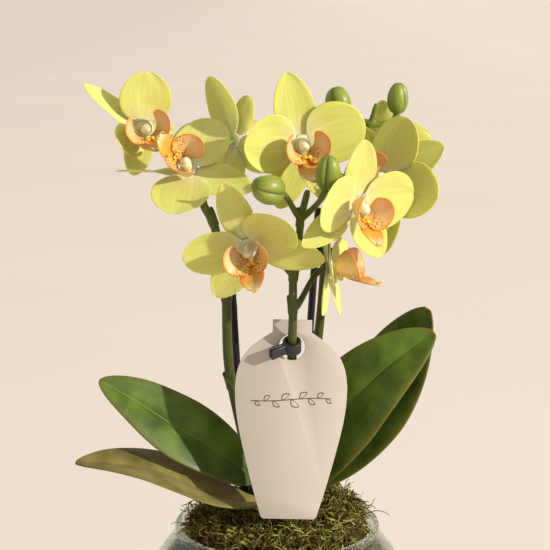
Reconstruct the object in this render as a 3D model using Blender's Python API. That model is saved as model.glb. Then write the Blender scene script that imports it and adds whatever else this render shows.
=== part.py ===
"""Potted moth orchid: a yellow multiflora plant with three flower spikes, in a round glass bowl of moss.

Frame: metres, +Z up, origin at the centre of the bowl's flat underside. The front of the plant, which most
flowers face, is -Y. Every length below is written in millimetres and scaled by MM where a mesh is made.
"""

import math

import bmesh
import bpy
from mathutils import Matrix, Vector

MM = 0.001
GAP = 0.3  # clearance between pieces that touch

# Bowl
BOWL_RADIUS = 71.0
BOWL_FOOT_RADIUS = 40.95
BOWL_WALL = 2.4
BOWL_BASE = 5.0
MOUTH_RADIUS = 47.4
RIM_HEIGHT = 5.0
RIM_ROLL = 1.2
FLOOR_FILLET = 13.0  # how far the inner wall rounds in before the flat floor
ROUND_SIDES = 36
BOWL_CENTRE_Z = math.sqrt(BOWL_RADIUS**2 - BOWL_FOOT_RADIUS**2)
NECK_RADIUS = MOUTH_RADIUS + BOWL_WALL
RIM_Z = BOWL_CENTRE_Z + math.sqrt(BOWL_RADIUS**2 - NECK_RADIUS**2) + RIM_HEIGHT

# The plant is laid out for a bowl whose rim is this high, and moves up or down with the rim
PLANTED_RIM_Z = 113.607
PLANT_LIFT = RIM_Z - PLANTED_RIM_Z

# Moss
MOSS_CLEARANCE = 0.8
MOSS_CROWN_HEIGHT = 9.0
MOSS_RIM_DROP = 1.2
MOSS_BUMP = 1.6
MOSS_HEAP = 3.0  # how much higher the back right is than the front left
STEM_SOCKET_ROOM = 0.5

# Leaf-bearing crown
CROWN_RADIUS = 8.0
CROWN_TOP_Z = 137.0
CROWN_FOOT_Z = 104.0
CROWN_PLACE = (-1.0, 3.0)
CROWN_TAPER = (0.7, 0.95, 1.0, 0.9, 0.7, 0.35)

# Flowers
SEPAL_LENGTH = 30.0
SEPAL_WIDTH = 18.5
PETAL_LENGTH = 28.0
PETAL_WIDTH = 28.0
TEPAL_THICKNESS = 0.8
HUB_RADIUS = 3.0
WHORL_STEP = 1.7
CLAW_WIDTH = 4.6
COLUMN_LENGTH = 7.0
COLUMN_RADIUS = 2.1
LIP_MIDLOBE = (15.5, 13.0)
LIP_SIDELOBE = (12.5, 11.0)
LIP_THICKNESS = 0.7
LIP_PLACE = (0.0, -5.7, 8.1)
PEDICEL_RADIUS = 1.35
SPIKE_RADIUS = 2.8

# Stakes, clips and tag
STAKE_RADIUS = 1.9
STAKE_FOOT_Z = 60.0
CLIP_WALL = 1.5
CLIP_HEIGHT = 6.0
CLIP_ARM = 8.5
CLIP_ROOM = 0.1
CLIP_SLACK = 3.7
TAG_HEIGHT = 95.5
TAG_WIDTH = 53.0
TAG_NECK_WIDTH = 18.5
TAG_NECK_HEIGHT = 6.0
TAG_FOOT_WIDTH = 25.5
TAG_THICKNESS = 1.2
TAG_HOLE_ROOM = 1.8
TAG_HOLE_RADIUS = SPIKE_RADIUS + CLIP_ROOM + CLIP_WALL + TAG_HOLE_ROOM
TAG_HOLE_DROP = 13.0

# Middle lines of the flower spikes, from the moss up
LEFT_ROUTE = [
    (-10, 13, 108), (-13, 12.5, 136), (-18.6, 8, 163), (-23.8, 2, 194), (-24.6, -3, 229), (-26.4, -5, 245),
    (-30, -6, 264), (-35, -6, 274), (-37, -5, 286), (-43, -4, 296), (-49, -3, 301),
]
CENTRE_ROUTE = [
    (4, -9, 108), (4, -10, 140), (5, -14, 165), (6.5, -19.5, 190), (7, -21.6, 201), (7, -26, 209.2),
    (7.2, -30.6, 218), (7.4, -33, 229), (7.5, -34, 245), (10, -34, 262), (11, -34, 272), (14, -34, 285),
]
RIGHT_ROUTE = [
    (12.5, 1, 108), (13, 2, 134), (14.2, 5.5, 153), (16.5, 5, 178), (19.6, 0, 204), (21.6, -4.5, 226),
    (23, -6, 249), (24.5, -4, 262), (32.5, 4, 284), (39, 8, 298), (45, 8, 311), (48, 8, 321),
]

# name: where it passes above the moss, and its head
STAKES = {
    "stake_left": ((-17.0, 18.0, 135), (-22.0, 3.5, 233)),
    "stake_right": ((12.2, 26.0, 135), (19.8, -4.0, 272)),
}

TAG_PLACE = (7.0, -26.0, 209.2)
TAG_TILT = 6.0
TAG_LEAN = 1.2

COLOURS = {
    "glass": ((0.80, 0.84, 0.80), 0.05),
    "moss": ((0.20, 0.17, 0.06), 0.95),
    "leaf": ((0.07, 0.17, 0.02), 0.35),
    "stem": ((0.14, 0.22, 0.03), 0.50),
    "petal": ((0.80, 0.74, 0.16), 0.45),
    "lip": ((0.80, 0.32, 0.03), 0.45),
    "column": ((0.85, 0.75, 0.45), 0.40),
    "bud": ((0.35, 0.50, 0.06), 0.45),
    "stake": ((0.010, 0.009, 0.012), 0.45),
    "clip": ((0.012, 0.011, 0.014), 0.40),
    "card": ((0.70, 0.62, 0.50), 0.80),
}


# ---------------------------------------------------------------- scene helpers


def clear_scene():
    for obj in list(bpy.data.objects):
        bpy.data.objects.remove(obj)


def material(slot):
    found = bpy.data.materials.get(slot)
    if found:
        return found
    colour, roughness = COLOURS[slot]
    made = bpy.data.materials.new(slot)
    made.use_nodes = True
    shader = made.node_tree.nodes["Principled BSDF"]
    shader.inputs["Base Color"].default_value = (*colour, 1.0)
    shader.inputs["Roughness"].default_value = roughness
    shader.inputs["Metallic"].default_value = 0.0
    return made


def object_from(name, points, faces, slot, helper=False):
    """A mesh object from points in millimetres, with its normals made to agree."""
    mesh = bpy.data.meshes.new(name)
    mesh.from_pydata([Vector(p) * MM for p in points], [], faces)
    bm = bmesh.new()
    bm.from_mesh(mesh)
    bmesh.ops.recalc_face_normals(bm, faces=bm.faces)
    bm.to_mesh(mesh)
    bm.free()
    mesh.materials.append(material(slot))
    mesh.shade_smooth()
    obj = bpy.data.objects.new(name, mesh)
    bpy.context.scene.collection.objects.link(obj)
    if helper:
        obj.hide_render = True
        obj.display_type = "WIRE"
    return obj


def solidify(obj, thickness):
    modifier = obj.modifiers.new("thickness", "SOLIDIFY")
    modifier.thickness = thickness * MM
    modifier.offset = 0.0
    modifier.use_even_offset = True
    return modifier


def boolean(obj, other, operation):
    modifier = obj.modifiers.new(operation.lower() + "_" + other.name, "BOOLEAN")
    modifier.operation = operation
    modifier.object = other
    return modifier


def ring_faces(rings, sides):
    """Quads between successive rings of points, and a cap at each end."""
    faces = []
    for ring in range(rings - 1):
        for side in range(sides):
            here = ring * sides + side
            beside = ring * sides + (side + 1) % sides
            faces.append((here, beside, beside + sides, here + sides))
    faces.append(tuple(range(sides - 1, -1, -1)))
    faces.append(tuple(range((rings - 1) * sides, rings * sides)))
    return faces


def revolved(name, profile, slot, sides=ROUND_SIDES):
    """A closed outline of (radius, height) points turned round Z, its first and last ones on the axis."""
    points = [(0.0, 0.0, profile[0][1])]
    for radius, height in profile[1:-1]:
        for side in range(sides):
            turn = 2 * math.pi * side / sides
            points.append((radius * math.cos(turn), radius * math.sin(turn), height))
    points.append((0.0, 0.0, profile[-1][1]))
    faces = []
    rings = len(profile) - 2
    last = len(points) - 1
    for side in range(sides):
        beside = (side + 1) % sides
        faces.append((0, 1 + beside, 1 + side))
        faces.append((last, last - sides + side, last - sides + beside))
        for ring in range(rings - 1):
            low = 1 + ring * sides
            high = low + sides
            faces.append((low + side, low + beside, high + beside, high + side))
    return object_from(name, points, faces, slot)


def smooth_route(points, steps):
    """Catmull-Rom points through the given ones, `steps` to each stretch."""
    way = [Vector(p) for p in points]
    way = [way[0] * 2 - way[1], *way, way[-1] * 2 - way[-2]]
    found = []
    for before, start, end, after in zip(way, way[1:], way[2:], way[3:]):
        for step in range(steps):
            t = step / steps
            found.append(
                0.5
                * (
                    2 * start
                    + (end - before) * t
                    + (2 * before - 5 * start + 4 * end - after) * t * t
                    + (3 * start - before - 3 * end + after) * t**3
                )
            )
    return [*found, way[-2]]


def tube(name, route, radii, sides, slot, helper=False):
    """A closed round tube along a route, with a radius at each of its points."""
    points = []
    side_axis = None
    for index, centre in enumerate(route):
        ahead = route[min(index + 1, len(route) - 1)] - route[max(index - 1, 0)]
        ahead.normalize()
        if side_axis is None:
            side_axis = ahead.orthogonal().normalized()
        side_axis = (side_axis - ahead * side_axis.dot(ahead)).normalized()
        other_axis = ahead.cross(side_axis)
        for side in range(sides):
            turn = 2 * math.pi * side / sides
            across = side_axis * math.cos(turn) + other_axis * math.sin(turn)
            points.append(centre + across * radii[index])
    return object_from(name, points, ring_faces(len(route), sides), slot, helper)


# ---------------------------------------------------------------- petals and other blades


def blade_outline(share, width, claw, fullness, squareness):
    """Half-width of a petal or leaf at a share of its length: an oval that narrows to a claw."""
    place = share**fullness
    oval = max(0.0, 1 - abs(2 * place - 1) ** squareness) ** (1 / squareness)
    return max(width / 2 * oval, claw / 2 * (1 - share) ** 2)


def blade_points(shape, columns, rows):
    """Grid of a blade's middle surface, lying along +X from the hub, with +Z towards the viewer."""
    length = shape["length"]
    start = shape.get("start", HUB_RADIUS)
    tilt = math.radians(shape.get("tilt", 0.0))
    bend = math.radians(shape.get("bend", 0.0))
    twist = math.radians(shape.get("twist", 0.0))
    sweep = math.radians(shape.get("sweep", 0.0))
    grid = []
    reach, rise, drift = start, 0.0, 0.0
    before = 0.0
    for row in range(rows + 1):
        share = 0.97 * (1 - math.cos(math.pi * (row / rows) ** 0.92)) / 2
        middle = (share + before) / 2
        step = (share - before) * length
        reach += step * math.cos(tilt + bend * middle) * math.cos(sweep * middle)
        drift += step * math.cos(tilt + bend * middle) * math.sin(sweep * middle)
        rise += step * math.sin(tilt + bend * middle)
        before = share
        slope = tilt + bend * share
        forward = Vector((math.cos(slope), 0, math.sin(slope)))
        normal = Vector((-math.sin(slope), 0, math.cos(slope)))
        half = blade_outline(
            share, shape["width"], shape.get("claw", CLAW_WIDTH),
            shape.get("fullness", 0.8), shape.get("squareness", 2.0),
        )
        ease = min(1.0, 3 * share)
        for column in range(columns + 1):
            across = 2 * column / columns - 1
            turn = twist * min(1.0, 2.2 * share)
            side = Vector((0, math.cos(turn), 0)) + normal * math.sin(turn)
            lift = shape.get("cup", 0.0) * half * across**2
            lift += shape.get("crease", 0.0) * half * abs(across)
            wave = math.sin(2 * math.pi * (1.4 * share + shape.get("phase", 0.0)) + 2 * across)
            lift += shape.get("ruffle", 0.0) * wave * across**2
            inset = -0.10 * half * across**2 * math.cos(math.pi * share)
            centre = Vector((reach, drift, rise))
            point = centre + side * half * across + normal * lift * ease
            grid.append(point + forward * inset * ease)
    return grid


def whorl(name, blades, frame, slot, thickness, columns=4, rows=5):
    """Blades round a small hub, as one sheet with a thickness. Angles run anticlockwise from +X."""
    points, faces, collar = [], [], []
    for blade in sorted(blades, key=lambda b: b["angle"]):
        turned = Matrix.Rotation(math.radians(blade["angle"]), 3, "Z")
        first = len(points)
        points += [turned @ p for p in blade_points(blade, columns, rows)]
        for row in range(rows):
            for column in range(columns):
                corner = first + row * (columns + 1) + column
                above = corner + columns + 1
                faces.append((corner, above, above + 1, corner + 1))
        collar += range(first, first + columns + 1)
    hub = len(points)
    points.append(Vector((0, 0, 0)))
    for here, beside in zip(collar, collar[1:] + collar[:1]):
        faces.append((hub, here, beside))
    obj = object_from(name, [frame @ p for p in points], faces, slot)
    solidify(obj, thickness)
    return obj


# ---------------------------------------------------------------- flowers


def facing_frame(place, azimuth, elevation, roll):
    """Flower frame: +Z the way it faces, +Y its top sepal. Azimuth 0 faces the front, and 90 faces +X."""
    turn = math.radians(azimuth)
    lift = math.radians(elevation)
    facing = Vector((math.sin(turn) * math.cos(lift), -math.cos(turn) * math.cos(lift), math.sin(lift)))
    right = Vector((math.cos(turn), math.sin(turn), 0))
    up = facing.cross(right)
    axes = Matrix((right, up, facing)).transposed() @ Matrix.Rotation(math.radians(roll), 3, "Z")
    return Matrix.Translation(place) @ axes.to_4x4()


def sepal(angle, **changes):
    shape = {
        "angle": angle, "length": SEPAL_LENGTH, "width": SEPAL_WIDTH, "fullness": 0.82,
        "squareness": 1.9, "tilt": 0, "bend": 5, "cup": 0.10, "crease": 0.05,
    }
    return {**shape, **changes}


def petal(angle, **changes):
    shape = {
        "angle": angle, "length": PETAL_LENGTH, "width": PETAL_WIDTH, "fullness": 0.86,
        "squareness": 2.05, "tilt": 7, "bend": 12, "cup": 0.10, "ruffle": 0.10,
    }
    return {**shape, **changes}


def lip_blades(droop):
    """Mid-lobe forwards, two side lobes standing up, and the strap back to the flower's middle."""
    mid_length, mid_width = LIP_MIDLOBE
    side_length, side_width = LIP_SIDELOBE
    side = {
        "length": side_length, "width": side_width, "claw": 3.2, "start": 1.7, "fullness": 0.95,
        "squareness": 2.0, "tilt": 42, "bend": 62, "cup": 0.22,
    }
    return [
        {"angle": 0, **side, "sweep": -10},
        {"angle": 180, **side, "sweep": 10},
        {
            "angle": 270, "length": mid_length, "width": mid_width, "claw": 3.0, "start": 1.8,
            "fullness": 0.80, "squareness": 1.5, "tilt": -droop, "bend": 26, "cup": 0.20, "crease": 0.16,
        },
        {
            "angle": 90, "length": 2.0, "width": 2.6, "claw": 3.0, "start": 1.6,
            "tilt": 20, "bend": 10,
        },
    ]


def flower(name, place, azimuth, elevation, roll, sepals, petals, droop=35):
    """One bloom as four pieces: sepal whorl, petal pair, column and lip."""
    frame = facing_frame(place, azimuth, elevation, roll)
    whorl(name + "_sepals", sepals, frame, "petal", TEPAL_THICKNESS)
    front = frame @ Matrix.Translation((0, 0, WHORL_STEP))
    whorl(name + "_petals", petals, front, "petal", TEPAL_THICKNESS)
    foot = WHORL_STEP + TEPAL_THICKNESS / 2 + GAP
    lengthwise = [0.0, 0.45, 0.72, 0.92, 1.0]
    fatness = [0.85, 0.95, 1.25, 1.05, 0.45]
    route = [frame @ Vector((0, 0.4 - 1.2 * s * s, foot + COLUMN_LENGTH * s)) for s in lengthwise]
    tube(name + "_column", route, [COLUMN_RADIUS * f for f in fatness], 8, "column")
    lip_axes = Matrix(((1, 0, 0), (0, 0, 1), (0, -1, 0))).to_4x4()
    lip_frame = frame @ Matrix.Translation(LIP_PLACE) @ lip_axes
    whorl(name + "_lip", lip_blades(droop), lip_frame, "lip", LIP_THICKNESS, columns=2, rows=4)
    return frame


def standard_flower(name, place, azimuth, elevation, roll, size=1.0, sepals=None, petals=None, droop=35):
    """A bloom with the usual five blades, each of which may be changed by its name."""
    sepals = sepals or {}
    petals = petals or {}

    def sized(shape):
        return {**shape, "length": shape["length"] * size, "width": shape["width"] * size}

    return flower(
        name, place, azimuth, elevation, roll,
        [
            sized(sepal(**{"angle": 90, **sepals.get("top", {})})),
            sized(sepal(**{"angle": 218, **sepals.get("left", {})})),
            sized(sepal(**{"angle": 322, **sepals.get("right", {})})),
        ],
        [
            sized(petal(**{"angle": 165, **petals.get("left", {})})),
            sized(petal(**{"angle": 15, **petals.get("right", {})})),
        ],
        droop,
    )


# name: place, azimuth, elevation, roll and the changes that make each bloom its own
FLOWERS = {
    "flower_far_left": dict(
        place=(-62.5, -9, 311), azimuth=12, elevation=4, roll=16, droop=28,
        sepals={
            "top": {
                "angle": 127, "tilt": -6, "twist": 50, "width": 13, "length": 32,
                "fullness": 1.0, "claw": 3.0,
            },
            "left": {"angle": 238, "tilt": 0, "length": 20, "width": 14},
            "right": {"angle": 336, "tilt": -4, "length": 11, "width": 12},
        },
        petals={
            "left": {"angle": 197, "tilt": 9, "bend": 70, "width": 18, "length": 18},
            "right": {"angle": 73, "tilt": 7, "bend": 10, "length": 24, "width": 25},
        },
    ),
    "flower_low_left": dict(
        place=(-41, -21, 292), azimuth=-8, elevation=42, roll=-106,
        sepals={
            "top": {"angle": 88, "tilt": -2}, "left": {"angle": 202, "tilt": -8, "length": 27},
            "right": {
                "angle": 291, "tilt": 4, "twist": 58, "width": 12, "length": 31,
                "fullness": 1.25, "claw": 3.0,
            },
        },
        petals={
            "left": {"angle": 178, "tilt": -2, "bend": 0, "width": 27},
            "right": {"angle": 13, "tilt": 8, "bend": 14},
        },
    ),
    "flower_back_left": dict(
        place=(-21, 11, 303), azimuth=150, elevation=-4, roll=-28,
        sepals={
            "top": {"angle": 92, "tilt": -4, "length": 31, "width": 16},
            "left": {"angle": 232, "tilt": 0, "length": 24},
            "right": {"angle": 300, "tilt": -4, "length": 26, "width": 15},
        },
        petals={
            "left": {"angle": 128, "tilt": 6, "width": 13, "length": 20},
            "right": {"angle": 12, "tilt": 10, "width": 24, "length": 24},
        },
    ),
    "flower_top": dict(
        place=(11, -20, 305.5), azimuth=13, elevation=-6, roll=6, droop=44,
        sepals={
            "top": {"angle": 98, "tilt": -2, "length": 31, "width": 20}, "left": {"angle": 246, "tilt": -2},
            "right": {"angle": 292, "tilt": -4, "width": 15},
        },
        petals={
            "left": {"angle": 171, "tilt": 8, "bend": 20},
            "right": {"angle": 14, "tilt": 4, "bend": 2, "width": 30},
        },
    ),
    "flower_front_left": dict(
        place=(-13, -38, 260.5), azimuth=-4, elevation=-22, roll=20,
        sepals={
            "top": {"angle": 88, "tilt": -2, "length": 31, "width": 16.5}, "left": {"angle": 221, "tilt": 0},
            "right": {"angle": 331, "tilt": 3, "bend": 8, "length": 33},
        },
        petals={
            "left": {"angle": 168, "tilt": 6, "bend": 10, "width": 23},
            "right": {"angle": 24, "tilt": 11, "bend": 30, "width": 27},
        },
    ),
    "flower_front_right": dict(
        place=(36, -38, 279.5), azimuth=34, elevation=-14, roll=-8,
        sepals={
            "top": {"angle": 106, "tilt": 2, "bend": 10},
            "left": {"angle": 222, "tilt": -2, "twist": 40, "width": 14},
            "right": {"angle": 312, "tilt": -4, "bend": 20},
        },
        petals={
            "left": {"angle": 176, "tilt": 8, "bend": 26},
            "right": {"angle": 14, "tilt": 2, "bend": 0, "width": 29},
        },
    ),
    "flower_right": dict(
        place=(52, -7, 286), azimuth=-28, elevation=18, roll=-60,
        sepals={
            "top": {"angle": 96, "tilt": -6, "length": 29}, "left": {"angle": 191, "tilt": 4},
            "right": {"angle": 332, "tilt": -10, "length": 33},
        },
        petals={
            "left": {"angle": 136, "tilt": 8, "bend": 0, "width": 25},
            "right": {"angle": 42, "tilt": 6, "bend": 4},
        },
    ),
    "flower_back_right": dict(
        place=(52, 20, 297), azimuth=165, elevation=10, roll=0, size=0.74,
    ),
    "flower_low_right": dict(
        place=(24, -24, 247), azimuth=80, elevation=8, roll=0, size=0.92, droop=30,
        sepals={
            "top": {"angle": 104, "tilt": -2, "length": 26, "width": 16},
            "left": {"angle": 214, "tilt": -6, "width": 14},
            "right": {"angle": 300, "tilt": -2},
        },
        petals={
            "left": {"angle": 165, "tilt": 4, "width": 22, "length": 22},
            "right": {"angle": 8, "tilt": 12, "bend": 10, "width": 23, "length": 22},
        },
    ),
}

# name: foot, axis, length, width
BUDS = {
    "bud_top": ((31, 12, 315), (-0.2, 0.05, 1.0), 14, 13),
    "bud_tip": ((57.5, 8, 316), (0.05, 0.0, 1.0), 15, 10.5),
    "bud_middle": ((21.5, -46, 287), (0.12, -0.2, 1.0), 16, 11.5),
    "bud_front": ((1.5, -48, 286), (-0.7, -0.65, 0.25), 16.5, 14),
}


# ---------------------------------------------------------------- the whole plant


def bowl_profile():
    """Outer and inner wall of the bowl as one outline, from the underside's middle to the floor's middle."""
    profile = [(0.0, 0.0)]
    foot = BOWL_FOOT_RADIUS
    profile += [(foot - 4, 0.0), (foot - 1, 0.5)]
    neck = NECK_RADIUS
    top = math.acos(neck / BOWL_RADIUS)
    low = -math.acos((foot + 1.2) / BOWL_RADIUS)
    arc = 8
    for step in range(arc + 1):
        turn = low + (top - low) * step / arc
        profile.append((BOWL_RADIUS * math.cos(turn), BOWL_CENTRE_Z + BOWL_RADIUS * math.sin(turn)))
    neck_z = profile[-1][1]
    rim_z = RIM_Z
    profile += [
        (neck - 0.4, neck_z + 1.5),
        (neck + RIM_ROLL, rim_z - 2.2),
        (neck + RIM_ROLL, rim_z - 0.9),
        (neck + RIM_ROLL / 2, rim_z),
        (neck - BOWL_WALL / 2, rim_z),
        (MOUTH_RADIUS, rim_z - 1.2),
    ]
    inner = BOWL_RADIUS - BOWL_WALL
    inner_top = math.acos(MOUTH_RADIUS / inner)
    inner_low = math.asin((BOWL_BASE + 3 - BOWL_CENTRE_Z) / inner)
    for step in range(arc + 1):
        turn = inner_top + (inner_low - inner_top) * step / arc
        profile.append((inner * math.cos(turn), BOWL_CENTRE_Z + inner * math.sin(turn)))
    profile += [(profile[-1][0] - FLOOR_FILLET, BOWL_BASE), (0.0, BOWL_BASE)]
    return profile


def bowl():
    return revolved("glass_bowl", bowl_profile(), "glass")


def moss_height(x, y):
    """Height of the moss mound, heaped highest to the back right."""
    share = min(1.0, math.hypot(x, y) / MOUTH_RADIUS)
    dome = MOSS_CROWN_HEIGHT * (1 - share**2.2)
    heap = MOSS_HEAP * share * math.cos(math.atan2(y, x) - math.radians(25))
    bumps = MOSS_BUMP * math.sin(x / 6.5 + 1.0) * math.sin(y / 5.5) * (1 - share**3)
    return RIM_Z - MOSS_RIM_DROP + dome + heap * (1.0 if share < 1 else 0.6) + bumps


def moss():
    inner = BOWL_RADIUS - BOWL_WALL - MOSS_CLEARANCE
    low = math.asin((BOWL_BASE + 4 - BOWL_CENTRE_Z) / inner)
    top = math.acos((MOUTH_RADIUS - MOSS_CLEARANCE) / inner)
    rings = []
    arc = 6
    for step in range(arc + 1):
        turn = low + (top - low) * step / arc
        radius, height = inner * math.cos(turn), BOWL_CENTRE_Z + inner * math.sin(turn)
        rings.append([(radius, height)] * ROUND_SIDES)
    edge = MOUTH_RADIUS - MOSS_CLEARANCE
    for share in (1.0, 0.84, 0.62, 0.38):
        ring = []
        for side in range(ROUND_SIDES):
            turn = 2 * math.pi * side / ROUND_SIDES
            x, y = edge * share * math.cos(turn), edge * share * math.sin(turn)
            ring.append((edge * share, moss_height(x, y)))
        rings.append(ring)
    points = []
    for ring in rings:
        for side, (radius, height) in enumerate(ring):
            turn = 2 * math.pi * side / ROUND_SIDES
            points.append((radius * math.cos(turn), radius * math.sin(turn), height))
    faces = ring_faces(len(rings), ROUND_SIDES)[:-1]
    points.append((0, 0, moss_height(0, 0)))
    last = len(points) - 1
    for side in range(ROUND_SIDES):
        faces.append((last - ROUND_SIDES + side, last - ROUND_SIDES + (side + 1) % ROUND_SIDES, last))
    return object_from("moss", points, faces, "moss")


def crown_route():
    x, y = CROWN_PLACE
    return [Vector((x, y, z)) for z in (CROWN_FOOT_Z, 110, 118, 126, 132, CROWN_TOP_Z)]


def crown():
    radii = [CROWN_RADIUS * f for f in CROWN_TAPER]
    return tube("leaf_crown", crown_route(), radii, 14, "leaf")


def stake(name, foot, head):
    """A straight round stake pushed down into the moss."""
    foot, head = Vector(foot), Vector(head)
    down = (head - foot) * ((foot.z - STAKE_FOOT_Z) / (head.z - foot.z))
    route = [foot - down, head - (head - foot).normalized() * 0.8, head]
    return tube(name, route, [STAKE_RADIUS, STAKE_RADIUS, STAKE_RADIUS * 0.6], 12, "stake")


def leaf(name, route, width, face, fold, thickness=1.5, claw=9.0, fullness=0.95, columns=4, rows=8):
    """A fleshy leaf along a route, folded down its midrib. `face` is the way its upper side looks."""
    line = smooth_route(route, rows)
    lengths = [0.0]
    for a, b in zip(line, line[1:]):
        lengths.append(lengths[-1] + (b - a).length)
    points = []
    for row in range(rows + 1):
        share = (1 - math.cos(math.pi * row / rows)) / 2 * 0.985
        target = share * lengths[-1]
        index = max(i for i, value in enumerate(lengths) if value <= target)
        index = min(index, len(line) - 2)
        part = (target - lengths[index]) / (lengths[index + 1] - lengths[index])
        centre = line[index].lerp(line[index + 1], part)
        ahead = (line[index + 1] - line[index]).normalized()
        side = ahead.cross(Vector(face)).normalized()
        normal = side.cross(ahead)
        half = blade_outline(share, width, claw, fullness, 1.75)
        bend = math.radians(fold)
        for column in range(columns + 1):
            across = 2 * column / columns - 1
            offset = side * half * across * math.cos(bend)
            offset += normal * half * (abs(across) ** 1.25) * math.sin(bend)
            points.append(centre + offset)
    faces = []
    for row in range(rows):
        for column in range(columns):
            corner = row * (columns + 1) + column
            above = corner + columns + 1
            faces.append((corner, corner + 1, above + 1, above))
    obj = object_from(name, points, faces, "leaf")
    solidify(obj, thickness)
    return obj


def pedicel_route(start, leave, frame, bow=9.0):
    """A flower stalk from inside the spike to the middle of the flower's back."""
    back = frame @ Vector((0, 0, -TEPAL_THICKNESS / 2 - 2.5 * GAP))
    behind = frame @ Vector((0, 0, -bow))
    return curved(start, leave, behind, back)


def curved(start, leave, approach, end, steps=6):
    """Cubic curve from start, leaving along `leave`, to end by way of `approach`."""
    a, b = Vector(start), Vector(start) + Vector(leave)
    c, d = Vector(approach), Vector(end)
    found = []
    for step in range(steps + 1):
        t = step / steps
        found.append(a * (1 - t) ** 3 + b * 3 * t * (1 - t) ** 2 + c * 3 * t * t * (1 - t) + d * t**3)
    return found


def spike(name, route, head_radius, stalks, bracts):
    """A flower spike: its main stem with the flower stalks and bracts grown into it."""
    line = smooth_route(route, 2)
    last = len(line) - 1
    radii = [SPIKE_RADIUS + (head_radius - SPIKE_RADIUS) * i / last for i in range(last + 1)]
    radii[-1] *= 0.6
    main = tube(name, line, radii, 8, "stem")
    for number, way in enumerate(stalks):
        count = len(way)
        thick = [PEDICEL_RADIUS * (1.25 - 0.35 * math.sin(math.pi * i / (count - 1))) for i in range(count)]
        branch = tube(f"{name}_stalk_{number}", way, thick, 6, "stem", helper=True)
        boolean(main, branch, "UNION")
    for number, (share, turn) in enumerate(bracts):
        index = round(share * last)
        centre = line[index]
        ahead = (line[min(index + 1, last)] - line[max(index - 1, 0)]).normalized()
        out = Matrix.Rotation(math.radians(turn), 3, ahead) @ ahead.orthogonal().normalized()
        thick = radii[index]
        way = [centre - ahead * 3, centre + out * thick * 0.5, centre + ahead * 5 + out * thick * 0.9]
        taper = [thick * 0.8, thick * 0.95, thick * 0.35]
        bract = tube(f"{name}_bract_{number}", way, taper, 6, "stem", helper=True)
        boolean(main, bract, "UNION")


def bud(name, place, axis, length, width):
    """A closed bud along its axis, with the three seams of its sepals, and its foot at `place`."""
    axis = Vector(axis).normalized()
    turn = axis.to_track_quat("Z", "Y").to_matrix()
    rings, sides = 7, 12
    points = []
    for ring in range(rings):
        share = ring / (rings - 1)
        polar = math.pi * (0.06 + 0.90 * share)
        height = length * (1 - math.cos(polar)) / 2
        radius = width / 2 * math.sin(polar) ** 0.85 * (1.08 - 0.22 * share)
        for side in range(sides):
            around = 2 * math.pi * side / sides
            ridge = 1 - 0.07 * abs(math.cos(1.5 * around)) ** 6
            spot = Vector((radius * ridge * math.cos(around), radius * ridge * math.sin(around), height))
            points.append(Vector(place) + turn @ spot)
    return object_from(name, points, ring_faces(rings, sides), "bud")


# ---------------------------------------------------------------- spikes, stakes, clips, tag


def tag():
    """A flat card tag in the outline of a vase, hung by a round hole in its neck."""
    top = TAG_HOLE_DROP
    half = [
        (0.0, TAG_NECK_WIDTH / 2), (TAG_NECK_HEIGHT, TAG_NECK_WIDTH / 2),
        (TAG_NECK_HEIGHT + 4.5, TAG_WIDTH * 0.30),
        (TAG_NECK_HEIGHT + 10, TAG_WIDTH * 0.41), (TAG_NECK_HEIGHT + 17, TAG_WIDTH * 0.475),
        (TAG_NECK_HEIGHT + 24, TAG_WIDTH * 0.498), (TAG_NECK_HEIGHT + 29, TAG_WIDTH / 2),
        (TAG_NECK_HEIGHT + 37, TAG_WIDTH * 0.49), (TAG_HEIGHT * 0.55, TAG_WIDTH * 0.46),
        (TAG_HEIGHT * 0.68, TAG_WIDTH * 0.405), (TAG_HEIGHT * 0.84, TAG_WIDTH * 0.33),
        (TAG_HEIGHT - 4, TAG_FOOT_WIDTH / 2 + 1.4), (TAG_HEIGHT - 1.0, TAG_FOOT_WIDTH / 2 + 0.4),
        (TAG_HEIGHT, TAG_FOOT_WIDTH / 2 - 0.6),
    ]
    outline = [(x, top - down) for down, x in half] + [(-x, top - down) for down, x in reversed(half)]
    turn = Matrix.Rotation(math.radians(-TAG_TILT), 4, "X") @ Matrix.Rotation(math.radians(TAG_LEAN), 4, "Y")
    frame = Matrix.Translation(TAG_PLACE) @ turn
    count = len(outline)
    points = [frame @ Vector((x, y, z)) for y in (-TAG_THICKNESS / 2, TAG_THICKNESS / 2) for x, z in outline]
    obj = object_from("tag", points, ring_faces(2, count), "card")
    obj.data.shade_flat()
    ends = [frame @ Vector((0, y, 0)) for y in (-4, 4)]
    hole = tube("tag_hole", ends, [TAG_HOLE_RADIUS] * 2, 24, "card", helper=True)
    boolean(obj, hole, "DIFFERENCE")
    return obj


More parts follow.
